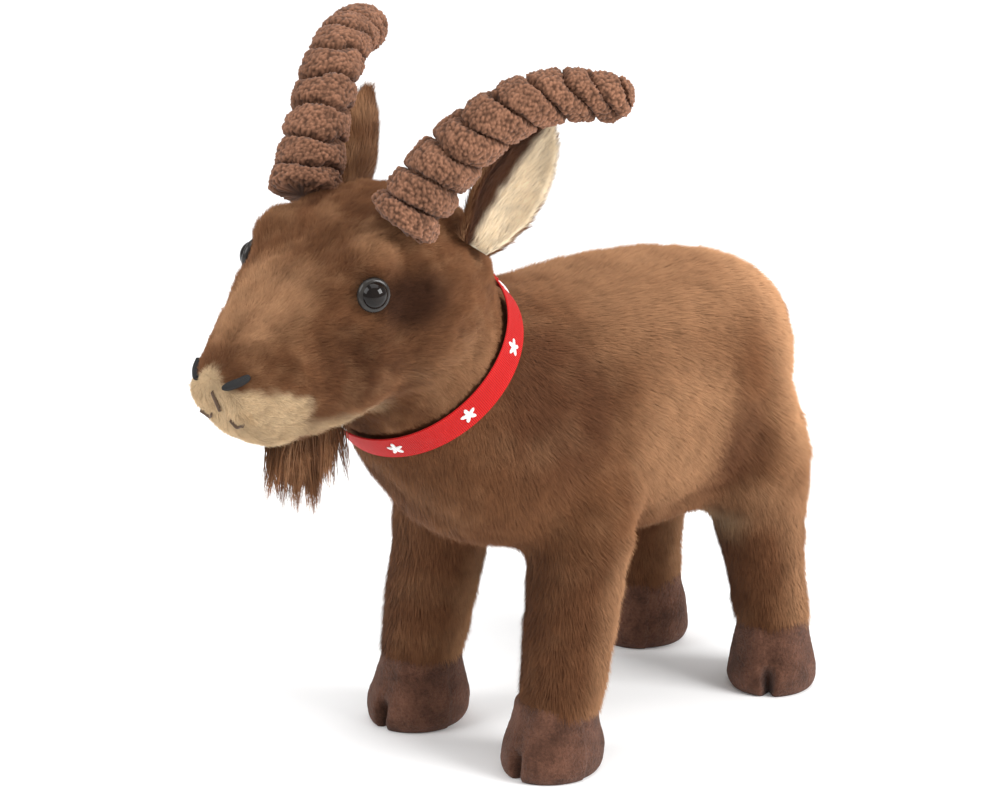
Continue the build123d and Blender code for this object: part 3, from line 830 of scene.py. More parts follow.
def pile_tree():
    """Geometry Nodes: locks of pile over a hide, combed, clumped, tinted and realised."""
    group = bpy.data.node_groups.new("Pile", "GeometryNodeTree")
    face = group.interface
    face.new_socket("Geometry", in_out="INPUT", socket_type="NodeSocketGeometry")
    wanted = (("Lock", "NodeSocketObject"), ("Zone", "NodeSocketInt"), ("Density", "NodeSocketFloat"),
              ("Width", "NodeSocketFloat"), ("Disorder", "NodeSocketFloat"), ("Clump", "NodeSocketFloat"),
              ("Seed", "NodeSocketInt"), ("Material", "NodeSocketMaterial"))
    for name, kind in wanted:
        face.new_socket(name, in_out="INPUT", socket_type=kind)
    face.new_socket("Geometry", in_out="OUTPUT", socket_type="NodeSocketGeometry")
    t = Tree(group)
    source = group.nodes.new("NodeGroupInput")
    given = {s.name: Socket(t, s) for s in source.outputs}
    zone = t.node("GeometryNodeInputNamedAttribute", {"data_type": "INT"}, {"Name": "zone"})
    chosen = t.node("FunctionNodeCompare", {"data_type": "INT", "operation": "EQUAL"},
                    {2: zone, 3: given["Zone"]})
    spread = t.node("GeometryNodeDistributePointsOnFaces", {"distribute_method": "RANDOM"},
                    {"Mesh": given["Geometry"], "Selection": chosen, "Density": given["Density"],
                     "Seed": given["Seed"]})
    normal = Socket(t, spread.socket.node.outputs["Normal"])
    comb = t.node("GeometryNodeInputNamedAttribute", {"data_type": "FLOAT_VECTOR"}, {"Name": "comb"})
    place = t.node("GeometryNodeInputPosition")

    def vector(operation, a, b=None, scale=None):
        values = {0: a}
        if b is not None:
            values[1] = b
        if scale is not None:
            values["Scale"] = scale
        return t.node("ShaderNodeVectorMath", {"operation": operation}, values)

    stray = t.node("FunctionNodeRandomValue", {"data_type": "FLOAT_VECTOR"},
                   {0: (-1.0, -1.0, -1.0), 1: (1.0, 1.0, 1.0), "Seed": given["Seed"]})
    cloud = t.node("ShaderNodeTexNoise", {}, {"Vector": place, "Scale": 150.0, "Detail": 1.5}, output=1)
    cloud = vector("SUBTRACT", cloud, (0.5, 0.5, 0.5))
    way = vector("ADD", comb, vector("SCALE", stray, scale=given["Disorder"]))
    way = vector("ADD", way, vector("SCALE", cloud, scale=given["Clump"]))
    upright = t.node("FunctionNodeAlignRotationToVector", {"axis": "Z"}, {"Vector": way})
    facing = vector("ADD", normal, vector("SCALE", stray, scale=0.6))
    turned = t.node("FunctionNodeAlignRotationToVector", {"axis": "Y", "pivot_axis": "Z"},
                    {"Rotation": upright, "Vector": facing})
    length = t.node("GeometryNodeInputNamedAttribute", {"data_type": "FLOAT"}, {"Name": "pile"})
    uneven = t.node("FunctionNodeRandomValue", {"data_type": "FLOAT"},
                    {2: 0.72, 3: 1.15, "Seed": 11}, output=1)
    tall = length * uneven
    size = t.node("ShaderNodeCombineXYZ", {}, [given["Width"], tall, tall])
    chance = t.node("FunctionNodeRandomValue", {"data_type": "FLOAT"},
                    {2: 0.0, 3: 1.0, "Seed": 23}, output=1)
    marked = t.node("GeometryNodeStoreNamedAttribute", {"data_type": "FLOAT", "domain": "POINT"},
                    {"Geometry": spread, "Name": "chance", "Value": chance})
    marked = t.node("GeometryNodeStoreNamedAttribute", {"data_type": "FLOAT_VECTOR", "domain": "POINT"},
                    {"Geometry": marked, "Name": "skin", "Value": normal})
    lock = t.node("GeometryNodeObjectInfo", {"transform_space": "ORIGINAL"},
                  {"Object": given["Lock"]}, output=4)
    many = t.node("GeometryNodeInstanceOnPoints", {},
                  {"Points": marked, "Instance": lock, "Rotation": turned, "Scale": size})
    real = t.node("GeometryNodeRealizeInstances", {}, {"Geometry": many})
    skin = t.node("GeometryNodeInputNamedAttribute", {"data_type": "FLOAT_VECTOR"}, {"Name": "skin"})
    own = vector("SCALE", t.node("GeometryNodeInputNormal"), scale=0.35)
    shaded = vector("NORMALIZE", vector("ADD", skin, own))
    real = t.node("GeometryNodeSetMeshNormal", {"mode": "FREE"}, {"Mesh": real, "Custom Normal": shaded})
    done = t.node("GeometryNodeSetMaterial", {}, {"Geometry": real, "Material": given["Material"]})
    t.node("NodeGroupOutput", {}, {"Geometry": done})
    return group


def grow(name, hide, group, lock, made, zone, density, width, disorder=0.35, clump=1.0, seed=0):
    """One piece of pile on one zone of a hide."""
    holder = new_object(name, hide.data.copy())
    modifier = holder.modifiers.new("pile", "NODES")
    modifier.node_group = group
    sockets = {item.name: item.identifier for item in group.interface.items_tree if item.in_out == "INPUT"}
    for key, value in (("Lock", lock), ("Zone", zone), ("Density", density), ("Width", width),
                       ("Disorder", disorder), ("Clump", clump), ("Seed", shape().seed + seed),
                       ("Material", made)):
        modifier[sockets[key]] = value
    settled(holder)
    for old in [a.name for a in holder.data.attributes if a.name in ("comb", "pile", "zone", "skin")]:
        holder.data.attributes.remove(holder.data.attributes[old])
    if not len(holder.data.polygons):
        raise RuntimeError(f"no pile grew for {name}")
    holder.parent = None
    return holder


def face_centres(mesh):
    flat = np.empty(len(mesh.polygons) * 3)
    mesh.polygons.foreach_get("center", flat)
    return table_mm(flat.reshape(-1, 3))


PER_SQUARE_METRE = 10000        # square centimetres in one
BARE = 99                       # zone on which no pile grows
WAIST_Y, LEG_TOP_Z, CROWN_Y, LIP_ZONE = 62, 64, -62, 4
HEAD_DENSITY, HEAD_WIDTH = 1.9, 0.80    # the head's pile against the body's
BODY_ZONES = [f"pile_{end}_{side}_{part}" for part in ("flank", "leg")
              for end in ("front", "rear") for side in ("left", "right")]
HEAD_ZONES = ["pile_face_left", "pile_face_right", "pile_nape_left", "pile_nape_right", "pile_lips"]


def quarters(c, y):
    """Zones 0 to 3: front left, front right, rear left, rear right."""
    return np.where(c[:, 0] > 0, 0, 1) + np.where(c[:, 1] > y, 2, 0)


class IBEX_OT_pile(bpy.types.Operator):
    """Grow the pile of the body, the legs and the head"""
    bl_idname = "ibex.pile"
    bl_label = "Pile"

    def execute(self, context):
        group, lock = pile_tree(), blade()
        made = pile_material("plush pile")
        body, head = bpy.data.objects["body_hide"], bpy.data.objects["head_hide"]
        c = face_centres(body.data)
        zone = quarters(c, WAIST_Y) + np.where(c[:, 2] < LEG_TOP_Z, 4, 0)
        store(body.data, "zone", "INT", np.where(hidden_under_collar(c), BARE, zone), "FACE")
        strands = shape().strands * PER_SQUARE_METRE * 1.0
        wide = shape().strand_width * 1.0
        for number, name in enumerate(BODY_ZONES):
            piece = grow(name, body, group, lock, made, number, strands, wide, 0.30, 0.75, number)
            finish_piece(piece, "body", None, slot="plush", smooth=False)
        c = face_centres(head.data)
        zone = np.where(lip_mask(c) > 0.5, LIP_ZONE, quarters(c, CROWN_Y))
        store(head.data, "zone", "INT", np.where(hidden_under_collar(c) | under_eye(c), BARE, zone), "FACE")
        for number, name in enumerate(HEAD_ZONES):
            piece = grow(name, head, group, lock, made, number, strands * HEAD_DENSITY, wide * HEAD_WIDTH,
                         0.42, 1.7, 20 + number)
            finish_piece(piece, "body", None, slot="plush", smooth=False)
        bpy.data.objects.remove(lock)
        return {"FINISHED"}


def neck_distance(p):
    """How far points are along the neck's axis from the collar, and out from the axis."""
    c, s = math.cos(NECK_TILT), math.sin(NECK_TILT)
    y, z = p[:, 1] - NECK_Y, p[:, 2] - NECK_Z
    return z * s - y * c, np.sqrt(p[:, 0] ** 2 + (y * s + z * c) ** 2)


def hidden_under_collar(p):
    """True where the ribbon lies on the neck, and inside the other hide there."""
    along, out = neck_distance(p)
    return (np.abs(along) < 6.2) & (out < 42)


def under_eye(p):
    q = p.copy()
    q[:, 0] = np.abs(q[:, 0])
    return np.linalg.norm(q - np.array((27.8, -75.0, 184.5)), axis=1) < 5.2


# ------------------------------------------------------------------ horns
HORN_FOOT = table_mm(JOINTS["left_horn_flex"]["pos_m"])
HORN_YAW = {1.0: math.radians(27.5), -1.0: math.radians(30.5)}
HORN_LINE = [(-5.0, 2.0), (1.0, 9.4), (8.4, 18.6), (18.2, 28.0), (29.2, 35.4), (40.9, 39.8), (52.6, 40.6),
             (63.5, 39.0), (73.0, 36.2)]     # level reach and rise from the foot, in the horn's own plane
HORN_ROLLS = 9


def horn_rings(side, seam_at, rings_per_roll=26, around=150):
    """Rings of the horn, with fat rolls that lean more towards the tip, and each ring's groove depth, kept as
    a mask of painted shade.
    """
    yaw = HORN_YAW[side]
    out = np.array((math.sin(yaw), math.cos(yaw), 0.0))
    across = np.array((math.cos(yaw), -math.sin(yaw), 0.0))
    up = np.array((0.0, 0.0, 1.0))
    count = HORN_ROLLS * rings_per_roll
    line = along_curve(HORN_LINE, count + 1)
    slope = np.gradient(line, axis=0)
    slope /= np.linalg.norm(slope, axis=1, keepdims=True)
    turn = np.linspace(0, 2 * math.pi, around, endpoint=False)
    rings, groove_shades = [], []
    for i in range(count + 1):
        t = i / count
        centre = HORN_FOOT + line[i, 0] * out + line[i, 1] * up
        outwards = -slope[i, 1] * out + slope[i, 0] * up
        radius = 12.2 + (7.7 - 12.2) * t ** 0.9
        lean = 0.05 + 0.85 * t ** 1.2
        wander = 0.10 * np.sin(2 * turn + 5.1 * t * HORN_ROLLS)
        phase = t * HORN_ROLLS + lean * np.sin(turn + 0.25) + wander
        dip = np.abs(np.mod(phase, 1.0) - 0.5) * 2
        dip = dip ** 5.5
        foot, tip = min(1.0, (i + 4) / (rings_per_roll * 0.4)), min(1.0, (count - i) / (rings_per_roll * 0.8))
        close = math.sqrt(max(1 - (1 - foot) ** 2, 0.02)) * math.sqrt(max(1 - (1 - tip) ** 2, 0.02))
        bend = np.mod(turn - seam_at + math.pi, 2 * math.pi) - math.pi
        seam = np.exp(-(bend / 0.15) ** 2)
        r = (radius - shape().ridge_depth / MM * dip * (1.1 - 0.3 * t) - 1.5 * seam) * close
        ring = centre + (np.cos(turn) * r)[:, None] * across + (np.sin(turn) * r)[:, None] * outwards
        rings.append(ring * np.array((side, 1.0, 1.0)))
        # mask of painted shade: the dips between the rolls, and the seam
        groove_shades.append(np.clip(dip + 0.7 * seam, 0, 1))
    return rings, np.array(groove_shades)


def nub_heights(points, size):
    """Height of the cloth's loops at each point, from 0 in the gaps to 1 at the tops."""
    away = np.array([noise.voronoi(Vector(p) / size)[0][0] for p in points])
    return np.clip(1 - away * 1.25, 0, 1)


class IBEX_OT_horns(bpy.types.Operator):
    """Make both ridged horns"""
    bl_idname = "ibex.horns"
    bl_label = "Horns"

    def execute(self, context):
        cloth = boucle_material()
        for name, side, seam_at in (("left", 1.0, 1.75), ("right", -1.0, 0.25)):
            rings, groove_shades = horn_rings(side, seam_at)
            points, faces = closed_tube(rings)
            mesh = mesh_from(name + "_horn", metres(points), faces)
            # The grooves' and the seam's depth, stored for the cloth's painted shade.
            store(mesh, "groove", "FLOAT", np.concatenate([groove_shades.reshape(-1), [1.0, 0.0]]))
            face_outwards(mesh)
            p, n = coordinates(mesh), normals(mesh)
            # Loop heights: they swell the surface, and the cloth paints light on their tops and shade in the
            # gaps.
            nubs = nub_heights(p / MM, 1.05)
            store(mesh, "nub", "FLOAT", nubs)
            swell = 1.0 * nubs + 0.45 * rough(p / MM, 4.0, 6) - 0.3
            set_coordinates(mesh, p + n * (swell * MM)[:, None])
            horn = new_object(name + "_horn", mesh)
            finish_piece(horn, name + "_horn", cloth, name + "_horn_cover", name + "_horn_stuffing",
                         slot="boucle")
        return {"FINISHED"}


# ------------------------------------------------------------------ ears
EAR_FOOT = table_mm(JOINTS["left_ear_flex"]["pos_m"])
# The right ear leans out and is a little shorter.
EAR_ALONG = {1.0: np.array((0.175, 0.56, 0.80)), -1.0: np.array((0.37, 0.55, 0.75))}
EAR_LENGTH = {1.0: 46.0, -1.0: 42.0}
EAR_LEAF = [(0.0, 6.0), (0.12, 9.5), (0.30, 12.6), (0.50, 13.0), (0.70, 11.0), (0.85, 7.6), (0.95, 4.0),
            (1.0, 0.6)]


def ear_axes(side):
    """Along the ear, across it towards the rear, and out of its lining towards the front and side."""
    along = EAR_ALONG[side] / np.linalg.norm(EAR_ALONG[side])
    out = np.array((0.93, -0.36, 0.0))
    out = out - along * (out @ along)
    out /= np.linalg.norm(out)
    return along, np.cross(along, out), out


def ear_sheet(side, lift, rows=34, columns=28):
    """A pointed leaf, curled along its length. lift is the height above the cup's middle layer."""
    along, across, out = ear_axes(side)
    places, halves = zip(*EAR_LEAF)
    grid = []
    for i in range(rows + 1):
        v = i / rows
        half = float(np.interp(v, places, halves))
        row = []
        for j in range(columns + 1):
            u = -1 + 2 * j / columns
            curl = 0.75 + 0.35 * (1 - v)
            angle = u * curl
            reach = half * math.sin(angle) / curl
            rise = half * (1 - math.cos(angle)) / curl
            place = (EAR_FOOT + along * (EAR_LENGTH[side] * v + 1.0)
                     + across * (reach - math.sin(angle) * lift)
                     + out * (rise + math.cos(angle) * lift - 3.0 * math.sin(math.pi * v)))
            row.append(place * np.array((side, 1.0, 1.0)))
        grid.append(row)
    return np.array(grid)


def slab(front, back):
    """A closed solid between two grids of points."""
    rows, columns = front.shape[:2]
    points = list(front.reshape(-1, 3)) + list(back.reshape(-1, 3))
    base = rows * columns
    faces = []
    for i in range(rows - 1):
        for j in range(columns - 1):
            a, b = i * columns + j, i * columns + j + 1
            c, d = b + columns, a + columns
            faces.append((a, b, c, d))
            faces.append((base + d, base + c, base + b, base + a))
    border = ([j for j in range(columns)] + [i * columns + columns - 1 for i in range(1, rows)]
              + [(rows - 1) * columns + j for j in range(columns - 2, -1, -1)]
              + [i * columns for i in range(rows - 2, 0, -1)])
    for k, a in enumerate(border):
        b = border[(k + 1) % len(border)]
        faces.append((b, a, base + a, base + b))
    return points, faces


class IBEX_OT_ears(bpy.types.Operator):
    """Make both ears: brown back, cream lining, and their pile"""
    bl_idname = "ibex.ears"
    bl_label = "Ears"

    def execute(self, context):
        group, lock = pile_tree(), blade()
        ground, pile = hide_material(), pile_material("ear pile", 0.80, 1.08)
        for name, side in (("left", 1.0), ("right", -1.0)):
            along, across, _ = ear_axes(side)
            mid, inner, outer = (ear_sheet(side, lift) for lift in (0.0, 1.0, -1.4))
            flip = np.array((side, 1.0, 1.0))
            for part, sheets, length, density in (("back", (mid, outer), 0.0044, 900.0),
                                                  ("lining", (inner, mid), 0.0046, 1000.0)):
                points, faces = slab(*sheets)
                mesh = outward(mesh_from(f"{name}_ear_{part}", metres(points), faces))
                piece = new_object(f"{name}_ear_{part}", mesh)

                def tint(p, n, part=part, flip=flip, across=across):
                    base = np.tile(linear("brown"), (len(p), 1))
                    if part == "back":
                        return paint(base, 0.5 * soft(rough(p, 8.0, 8), -0.5, 0.6), linear("tan"))
                    # The lining's front flap: its brown pile painted darker, partly as painted shade cast by
                    # the horn.
                    base = paint(base, 0.9 * np.ones(len(p)), linear("dark"))
                    rear = (p * flip - EAR_FOOT) @ across
                    return paint(base, soft(rear + 1.6 * rough(p, 5.0, 8), -2.6, 1.0), linear("lining"))

                def comb(p, n, flip=flip, along=along, across=across):
                    rear = np.clip((p * flip - EAR_FOOT) @ across / 12.0, -1, 1)
                    return (along + across * rear[:, None] * 0.5) * flip

                dress(piece, tint, comb, lambda p, n, length=length: np.full(len(p), length), 0.34)
                facing = np.empty(len(mesh.polygons) * 3)
                mesh.polygons.foreach_get("normal", facing)
                turned = surface_side(face_centres(mesh), facing.reshape(-1, 3), mid, side)
                grows = turned > -0.3 if part == "lining" else turned < 0.3
                store(mesh, "zone", "INT", np.where(grows, 0, BARE), "FACE")
                hair = grow(f"pile_{name}_ear_{part}", piece, group, lock, pile, 0,
                            density * PER_SQUARE_METRE, shape().strand_width * 0.8, 0.34, 0.9, 40)
                slot = "cream_pile" if part == "lining" else "plush"
                finish_piece(hair, name + "_ear", None, slot=slot, smooth=False)
                finish_piece(piece, name + "_ear", ground, f"{name}_ear_{part}", slot=slot)
        bpy.data.objects.remove(lock)
        return {"FINISHED"}


def surface_side(centres, facing, grid, side):
    """Positive where a face looks to the cup's inner side."""
    flat = grid.reshape(-1, 3)
    tangent_u = np.gradient(grid, axis=1).reshape(-1, 3)
    tangent_v = np.gradient(grid, axis=0).reshape(-1, 3)
    inner = np.cross(tangent_v, tangent_u) * side
    out = ear_axes(side)[2] * np.array((side, 1.0, 1.0))
    if (inner.mean(0) @ out) < 0:
        inner = -inner
    nearest = np.array([int(np.argmin(((flat - c) ** 2).sum(1))) for c in centres])
    return (facing * inner[nearest]).sum(1)


# ------------------------------------------------------------------ eyes and face
def turned_plate(centre, look, profile, around=48):
    """A solid of revolution about a direction; profile is (radius, height) from the outside in."""
    z = np.array(look) / np.linalg.norm(look)
    x = np.cross((0, 0, 1.0), z)
    x /= np.linalg.norm(x)
    y = np.cross(z, x)
    turn = np.linspace(0, 2 * math.pi, around, endpoint=False)
    rings = [np.array(centre) + z * h + r * (np.cos(turn)[:, None] * x + np.sin(turn)[:, None] * y)
             for r, h in profile]
    return closed_tube(rings)


EYE_AT, EYE_OUT = np.array((27.8, -75.0, 184.5)), np.array((0.93, -0.32, 0.18))


class IBEX_OT_eyes(bpy.types.Operator):
    """Make the domed eyes with their smoky rims, and give the washers their plastic"""
    bl_idname = "ibex.eyes"
    bl_label = "Eyes"

    def execute(self, context):
        dome, rim = eye_materials()
        edge = shape().eye_rim / MM
        for name, side in (("left", 1.0), ("right", -1.0)):
            flip = np.array((side, 1.0, 1.0))
            centre, look = EYE_AT * flip, EYE_OUT * flip
            bulge = [(4.6 * math.cos(a), 1.0 + 3.9 * math.sin(a)) for a in np.linspace(0.0, 1.5, 14)]
            points, faces = turned_plate(centre, look, [(3.9, -0.6), (4.6, 0.2)] + bulge)
            eye = new_object(name + "_eye_dome", outward(mesh_from("dome", metres(points), faces)))
            finish_piece(eye, "body", dome, name + "_eye", slot="eye")
            lip = [(edge * 0.75 + 1.35 * math.cos(a), 0.8 + 1.5 * math.sin(a))
                   for a in np.linspace(-1.6, 1.9, 14)]
            points, faces = turned_plate(centre, look, [(1.8, -3.0), (2.2, -0.6)] + lip + [(4.2, 1.2)])
            ring = new_object(name + "_eye_rim", outward(mesh_from("rim", metres(points), faces)))
            finish_piece(ring, "body", rim, slot="eye")
        plastic = plastic_material()
        for name in ("left_eye_washer", "right_eye_washer"):
            node = frame["nodes"][name]
            node.data.materials.clear()
            node.data.materials.append(plastic)
        return {"FINISHED"}


def drape_line(surface, path, half_width, height, samples=28, taper=0.5):
    """A raised satin-stitched line laid on a surface along a path of (x, z) seen from in front."""
    rows = along_curve(path, samples)
    rings = []
    for i, (x, y, z, look_x) in enumerate(rows):
        look = Vector((look_x, -1.0, 0.10)).normalized()
        start = Vector(metres((x, y, z))) + look * 0.03
        hit, normal, _, _ = surface.ray_cast(start, -look)
        if hit is None:
            raise RuntimeError("an embroidered line misses the face")
        nxt = rows[min(i + 1, samples - 1)] - rows[max(i - 1, 0)]
        tangent = Vector(nxt[:3]).normalized()
        side = normal.cross(tangent).normalized()
        t = i / (samples - 1)
        wide = half_width * (1 - taper * abs(2 * t - 1) ** 3) * MM
        wide *= 0.25 if i in (0, samples - 1) else 1.0
        ring = []
        for a in np.linspace(0, 2 * math.pi, 12, endpoint=False):
            rise = max(math.sin(a), -0.6) * height * MM * (0.4 if i in (0, samples - 1) else 1.0)
            ring.append(hit + side * (wide * math.cos(a)) + normal * (rise + 0.2 * MM))
        rings.append([table_mm(v) for v in ring])
    return closed_tube(rings)


class IBEX_OT_face(bpy.types.Operator):
    """Embroider the nostrils, the line under the nose and the mouth"""
    bl_idname = "ibex.face"
    bl_label = "Nostrils and mouth"

    def execute(self, context):
        head = bpy.data.objects["head_hide"]
        surface = BVHTree.FromObject(head, context.evaluated_depsgraph_get())
        black = thread_material("nose thread", (0.006, 0.005, 0.005), (0.6, 0.0, 0.8), 0.8)
        brown = thread_material("mouth thread", (0.13, 0.075, 0.045), (0.0, 0.4, 0.9))
        for name, side in (("left", 1.0), ("right", -1.0)):
            path = [(side * 5.6, -118, 158.6, side * 0.3), (side * 8.0, -118, 159.6, side * 0.5),
                    (side * 10.6, -116, 161.0, side * 0.7), (side * 12.2, -114, 162.4, side * 0.8)]
            line = joined(name + "_nostril_thread", [drape_line(surface, path, 1.5, 1.7)])
            piece = new_object(name + "_nostril_thread", line)
            finish_piece(piece, "body", black, name + "_nostril", slot="dark_thread")
        paths = [[(0, -121, 156.5, 0.0), (0, -121, 153.0, 0.0), (0, -121, 149.0, 0.0)]]
        for side in (1.0, -1.0):
            paths.append([(side * 5.2, -118, 147.2, side * 0.2), (side * 7.8, -117, 145.0, side * 0.4),
                          (side * 10.6, -115, 146.6, side * 0.6)])
        lines = [drape_line(surface, path, 0.32, 1.2) for path in paths]
        mouth = new_object("mouth_thread", joined("mouth_thread", lines))
        finish_piece(mouth, "body", brown, "mouth_embroidery", slot="dark_thread")
        return {"FINISHED"}


# ------------------------------------------------------------------ beard and tail
def wisp_mesh(wisps, strands, steps=6):
    """The beard's long pile, drawn together into pointed wisps that hang and spread."""
    chance = np.random.default_rng(shape().seed)
    points, faces, tint, along, lucky = [], [], [], [], []
    for _ in range(wisps):
        root = np.array((chance.uniform(-3.2, 3.2), chance.uniform(-92.5, -66.5), 131.5))
        middle = 1 - abs(root[1] + 78.0) / 16.0
        fall = chance.uniform(12.0, 21.0) + 10.0 * max(middle, 0.0)
        tip = root + (chance.uniform(-4, 4), 0.30 * (root[1] + 79.0) + chance.uniform(-2.5, 2.5), -fall)
        root[2] += 2.5 + 0.19 * (root[1] + 93.0)      # up into the jaw, which rises towards the throat
        shade = paint(np.array([linear("brown") * 0.9]), np.array([chance.uniform(0, 0.6)]), linear("tan"))
        shade = paint(shade, np.array([chance.uniform(0, 0.7)]), linear("dark"))[0]
        for k in range(strands):
            start = root + chance.normal(0, 1, 3) * (1.6, 2.6, 0.8)
            start[1] = np.clip(start[1], -93.0, -66.0)
            length = chance.uniform(0.55, 1.0)
            end = tip + chance.normal(0, 1, 3) * (0.9, 0.9, 0.5) * (1.6 - length)
            middle_point = (start + end) / 2 + chance.normal(0, 1, 3) * (0.8, 0.9, 0.3) + (0, 0, 1.0)
            flat = np.cross((0, 0, 1.0), (math.cos(k), math.sin(k), 0.0)) * chance.uniform(0.10, 0.17)
            first, luck = len(points), chance.uniform()
            for i in range(steps + 1):
                t = i / steps * length
                place = start * (1 - t) ** 2 + 2 * middle_point * t * (1 - t) + end * t ** 2
                wide = flat * (1 - 0.85 * (i / steps) ** 2)
                points += [place - wide, place + wide]
                along += [t, t]
                tint += [shade, shade]
                lucky += [luck, luck]
            faces += [tuple(first + 2 * i + corner for corner in (0, 1, 3, 2)) for i in range(steps)]
    mesh = mesh_from("beard_wisps", metres(points), faces)
    store(mesh, "tint", "FLOAT_COLOR", np.concatenate([np.array(tint), np.ones((len(tint), 1))], 1))
    store(mesh, "along", "FLOAT", along)
    store(mesh, "chance", "FLOAT", lucky)
    return mesh


class IBEX_OT_beard(bpy.types.Operator):
    """Make the beard and the tail, each a small stuffed core under long pile"""
    bl_idname = "ibex.beard"
    bl_label = "Beard and tail"

    def execute(self, context):
        group, lock = pile_tree(), blade(droop=0.10)
        ground, pile = hide_material(), pile_material("long pile", 0.60, 1.20, 0.40)
        cores = (
            ("beard", [(0.0, -79.0, 137.5, 1.2, 11.0), (0.0, -79.5, 131.5, 1.6, 12.0),
                       (0.0, -79.5, 128.0, 2.4, 12.5), (0.0, -79.0, 123.0, 2.2, 11.0),
                       (0.0, -78.5, 119.0, 1.4, 8.0), (0.0, -78.5, 117.0, 0.6, 4.0)], 9.0 * MM, 700.0),
            ("tail", [(0.0, 133.5, 131.5, 4.2, 1.6), (0.0, 136.0, 129.0, 6.2, 2.8),
                      (0.0, 139.5, 123.0, 7.0, 3.4), (0.0, 141.0, 115.0, 6.6, 3.2),
                      (0.0, 141.5, 107.0, 4.6, 2.4), (0.0, 141.3, 101.5, 2.0, 1.2)], 6.5 * MM, 1300.0),
        )
        for name, levels, length, density in cores:
            core = new_object(name + "_core", joined(name + "_core", [upright_tube(levels, 14, 28)]))

            def tint(p, n, name=name):
                base = np.tile(linear("brown") * (0.85 if name == "beard" else 1.0), (len(p), 1))
                base = paint(base, 0.6 * np.clip(rough(p, 3.0, 9), 0, 1), linear("tan"))
                return paint(base, 0.6 * np.clip(rough(p, 3.0, 10), 0, 1), linear("dark"))

            def comb(p, n, name=name):
                way = np.tile((0.0, 0.10 if name == "beard" else 0.05, -1.0), (len(p), 1))
                way[:, 1] += 0.25 * rough(p, 5.0, 12)
                way[:, 0] += 0.25 * rough(p, 5.0, 13)
                return way

            def reach(p, n, length=length, name=name):
                return length * (0.75 + 0.35 * rough(p, 4.0, 14))

            dress(core, tint, comb, reach, 0.16 if name == "beard" else 0.3)
            store(core.data, "zone", "INT", np.zeros(len(core.data.polygons)), "FACE")
            if name == "beard":
                wisps = new_object("beard_wisps", wisp_mesh(30, 85))
                finish_piece(wisps, name, pile, slot="long_pile", smooth=False)
            hair = grow(name + "_pile", core, group, lock, pile, 0, density * PER_SQUARE_METRE,
                        shape().strand_width * 0.85, 0.22, 0.7, 60)
            finish_piece(hair, name, None, slot="long_pile", smooth=False)
            finish_piece(core, name, ground, name, slot="long_pile")
        bpy.data.objects.remove(lock)
        return {"FINISHED"}


# ------------------------------------------------------------------ collar
RING_RADIUS, RIBBON_WIDTH, RIBBON_THICK = 35.0, 10.4, 0.7


def ring_point(angle, radius, along):
    """A point about the neck: angle 90 degrees is at the nape, along runs up the neck."""
    c, s = math.cos(NECK_TILT), math.sin(NECK_TILT)
    up = np.array((0.0, s, c))
    axis = np.array((0.0, -c, s))
    centre = np.array((0.0, NECK_Y, NECK_Z))
    return centre + axis * along + radius * (math.cos(angle) * np.array((1.0, 0, 0)) + math.sin(angle) * up)


def band_mesh(name, radius, thick, width, start, end, steps, edge=0.25):
    """A ribbon round the neck with rounded selvedges, and a uv map that runs round and across it."""
    closed = end - start > 2 * math.pi - 1e-3
    section = [(-0.5, 0.0), (-0.5 + edge / width, 1.0), (-0.25, 1.0), (0.0, 1.0), (0.25, 1.0),
               (0.5 - edge / width, 1.0), (0.5, 0.0), (0.5 - edge / width, -0.0), (0.0, -0.0),
               (-0.5 + edge / width, -0.0)]
    points, faces, uv = [], [], []
    count = len(section)
    total = steps if closed else steps + 1
    for i in range(total):
        a = start + (end - start) * i / steps
        for across, lift in section:
            raised = thick * (0.5 if abs(across) == 0.5 else lift)
            points.append(ring_point(a, radius + raised, across * width))
            uv.append((i / steps, across + 0.5))
    for i in range(steps):
        k = (i + 1) % total
        for j in range(count):
            m = (j + 1) % count
            faces.append((i * count + j, i * count + m, k * count + m, k * count + j))
    if not closed:
        faces.append(tuple(range(count)))
        faces.append(tuple(reversed([(total - 1) * count + j for j in range(count)])))
    mesh = mesh_from(name, metres(points), faces)
    layer = mesh.uv_layers.new(name="band")
    for polygon in mesh.polygons:
        wraps = closed and max(polygon.vertices) // count == total - 1 and min(polygon.vertices) // count == 0
        for loop in polygon.loop_indices:
            vertex = mesh.loops[loop].vertex_index
            u, v = uv[vertex]
            layer.data[loop].uv = (u + 1.0 if wraps and vertex // count == 0 else u, v)
    return face_outwards(mesh)


